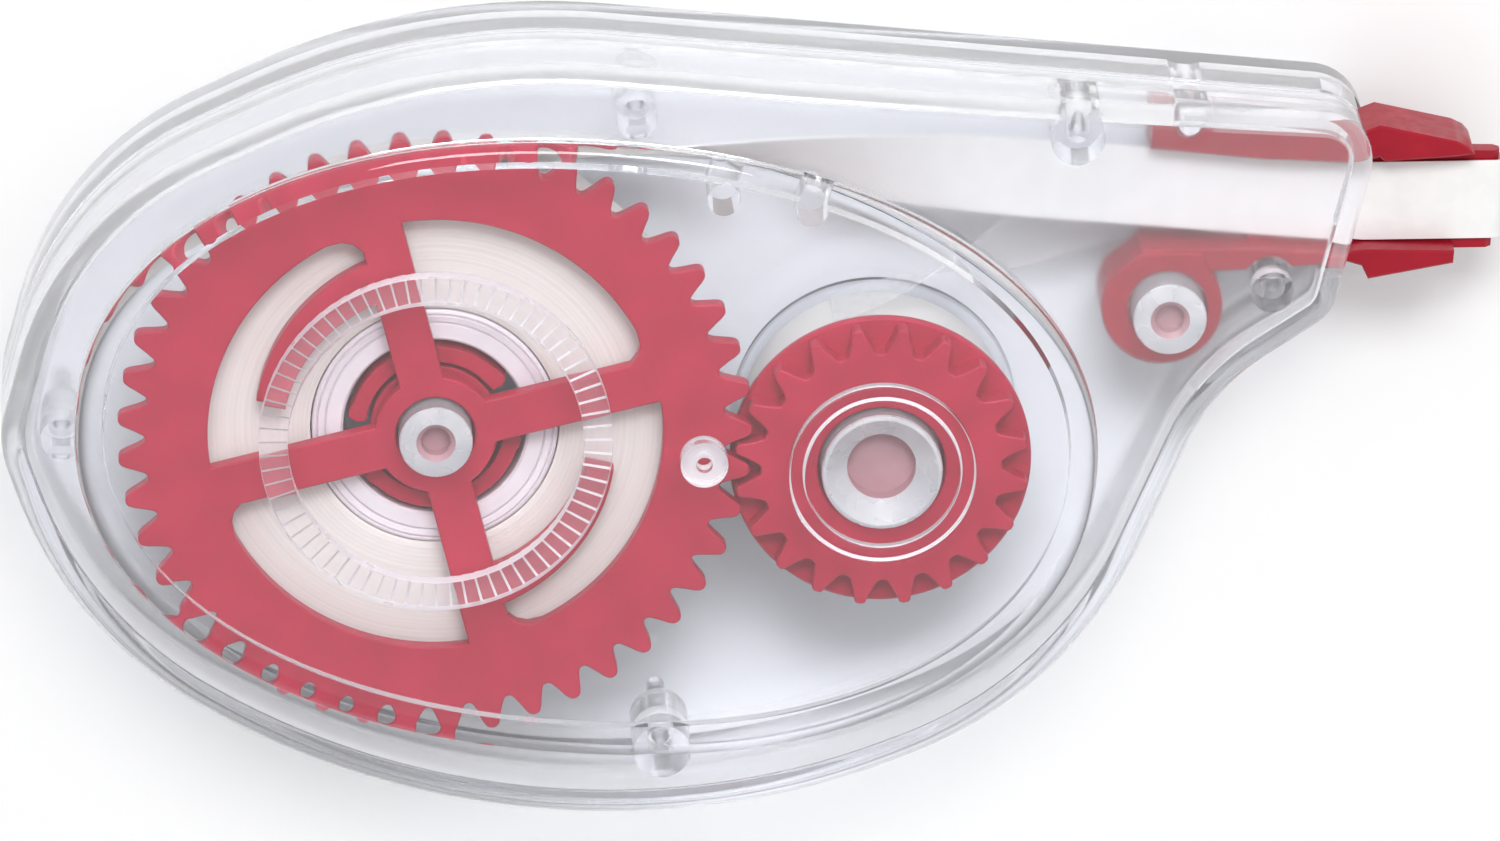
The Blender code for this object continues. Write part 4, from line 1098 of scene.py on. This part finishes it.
# ----------------------------------------------------------------------------- the pieces
def make_pieces():
    clear = clear_plastic("clear_case", 0.02, 0.05, 0.01)
    hazy = clear_plastic("clear_hazy", 0.05, 0.10, 0.06)
    wall = clear_plastic("clear_wall", 0.06, 0.12, 0.2)
    satin = clear_plastic("clear_satin", 0.18, 0.24, 0.07, 0.006)
    frosted = frosted_plastic("clear_frosted", 0.3, 0.45, 0.2)
    # whiter frosted skin for the ratchet steps and collar edges: a painted highlight
    painted_highlight = frosted_plastic("clear_edges_painted_highlight", 0.25, 0.4, 0.2)
    teeth = frosted_plastic("clear_teeth", 0.12, 0.2, 0.87)
    hollow = chalky("clear_hollow", (0.47, 0.26, 0.29), (0.54, 0.31, 0.34), 0.4, 0.2)
    gear_red = red_plastic("gear_red", (0.44, 0.017, 0.048), (0.52, 0.023, 0.062))
    tip_red = red_plastic("tip_red", (0.33, 0.009, 0.022), (0.40, 0.012, 0.029))
    white = chalky("core_white", (0.84, 0.78, 0.82), (0.9, 0.84, 0.88), 0.45, 0.2)
    cream = wound_tape("tape_turns", (0.79, 0.74, 0.70), (0.85, 0.81, 0.77), SUPPLY_AXIS)
    spent = wound_tape("film_turns", (0.78, 0.77, 0.74), (0.88, 0.87, 0.85), TAKEUP_AXIS)
    tape = chalky("tape_white", (0.88, 0.88, 0.87), (0.93, 0.93, 0.92), 0.55, 0.15)

    ends = [frosted_plastic(f"clear_end_{name}", 0.2, 0.4, 0.4, axis)
            for name, axis in (("supply", SUPPLY_AXIS), ("takeup", TAKEUP_AXIS), ("tip", TIP_POST))]
    make_back_cover([hazy, wall, hollow] + ends)
    make_front_cover([clear, satin, frosted, painted_highlight, hazy, wall, teeth])
    make_supply_wheel([gear_red])
    make_takeup_wheel([gear_red])
    make_slip_spring([gear_red])
    make_reel_core([white])
    make_wound("tape_roll", [cream], (CORE[1] + 0.1, SUPPLY_ROLL[1]), ROLL_Z, ROLL_Z + TAPE_WIDTH,
               SUPPLY_AXIS, "supply_spool", "supply_tape_roll")
    make_wound("used_roll", [spent], TAKEUP_ROLL, TAKEUP_ROLL_Z, TAKEUP_ROLL_Z + TAPE_WIDTH,
               TAKEUP_AXIS, "takeup_reel", "takeup_film_roll")
    make_reel_disc([clear])
    make_tip_head([tip_red])
    make_tapes(tape, used_film("used_film_clear"))


# ---------------------------------------------------------------------------- the studio
TILT = radians(20.3)           # the view leans this far from straight above, towards +Y
SWING = radians(2.5)
VIEW_DISTANCE = 800.0
FOCAL = 315.84                 # mm on a 36 mm wide sensor
AIM = (19.12, 0.65, 12.4)      # right and up in the picture, and the level aimed at, mm
KEY_AT = (0.02, 0.48, 0.60)    # the one lamp: place and size in metres, power in watts
KEY_SIZE = (0.34, 0.2)
KEY_POWER = 2.8
SKY = ((0.72, 0.73, 0.77), (1.0, 1.0, 1.0))     # horizon and upper sky
SKY_STRENGTH = 0.74
FLOOR_HALF = 1.2
FLOOR_DROP = 0.05 * MM         # keeps the floor just under the case
BOUNCES = 32                   # enough for light to leave the clear walls


def make_floor():
    bm = bmesh.new()
    bmesh.ops.create_grid(bm, x_segments=12, y_segments=12, size=FLOOR_HALF)
    mesh = bpy.data.meshes.new("floor")
    bm.to_mesh(mesh)
    bm.free()
    floor = bpy.data.objects.new("floor", mesh)
    floor.location.z = -FLOOR_DROP
    bpy.context.scene.collection.objects.link(floor)
    look = Look("floor_white", (0.9, 0.9, 0.9), 0.7)
    look.colours(look.noise(60.0), (0.965, 0.965, 0.965), (0.975, 0.975, 0.975))
    mesh.materials.append(look.mat)


def make_key():
    """Rectangular soft light that looks at the object."""
    light = bpy.data.lights.new("key", "AREA")
    light.shape = "RECTANGLE"
    light.size, light.size_y = KEY_SIZE
    light.energy = KEY_POWER
    ob = bpy.data.objects.new("key", light)
    ob.location = KEY_AT
    ob.rotation_euler = Vector(KEY_AT).to_track_quat("Z", "Y").to_euler()
    bpy.context.scene.collection.objects.link(ob)


def make_studio():
    world = bpy.data.worlds.new("studio")
    world.use_nodes = True
    nodes, links = world.node_tree.nodes, world.node_tree.links
    coord = nodes.new("ShaderNodeTexCoord")
    split = nodes.new("ShaderNodeSeparateXYZ")
    ramp = nodes.new("ShaderNodeValToRGB")
    for stop, position, colour in zip(ramp.color_ramp.elements, (0.0, 0.7), SKY):
        stop.position = position
        stop.color = (*colour, 1.0)
    links.new(coord.outputs["Generated"], split.inputs["Vector"])
    links.new(split.outputs["Z"], ramp.inputs["Fac"])
    links.new(ramp.outputs["Color"], nodes["Background"].inputs["Color"])
    nodes["Background"].inputs["Strength"].default_value = SKY_STRENGTH
    bpy.context.scene.world = world


def make_camera():
    right = Vector((cos(SWING), 0.0, sin(SWING)))
    up = Vector((sin(SWING) * sin(TILT), cos(TILT), -cos(SWING) * sin(TILT)))
    back = right.cross(up)
    aim = in_frame(0.0, 0.0, AIM[2]) + (AIM[0] * right + AIM[1] * up) * MM
    data = bpy.data.cameras.new("camera")
    data.sensor_width = 36.0
    data.lens = FOCAL
    data.clip_start = 0.01
    camera = bpy.data.objects.new("camera", data)
    camera.matrix_world = Matrix((right, up, back)).transposed().to_4x4()
    camera.location = aim + back * (VIEW_DISTANCE * MM)
    bpy.context.scene.collection.objects.link(camera)
    bpy.context.scene.camera = camera


make_camera()
make_pieces()
make_floor()
make_studio()
make_key()
bpy.context.scene.view_settings.view_transform = "Standard"
bpy.context.scene.cycles.max_bounces = BOUNCES
bpy.context.scene.cycles.transmission_bounces = BOUNCES
bpy.context.scene.cycles.transparent_max_bounces = BOUNCES
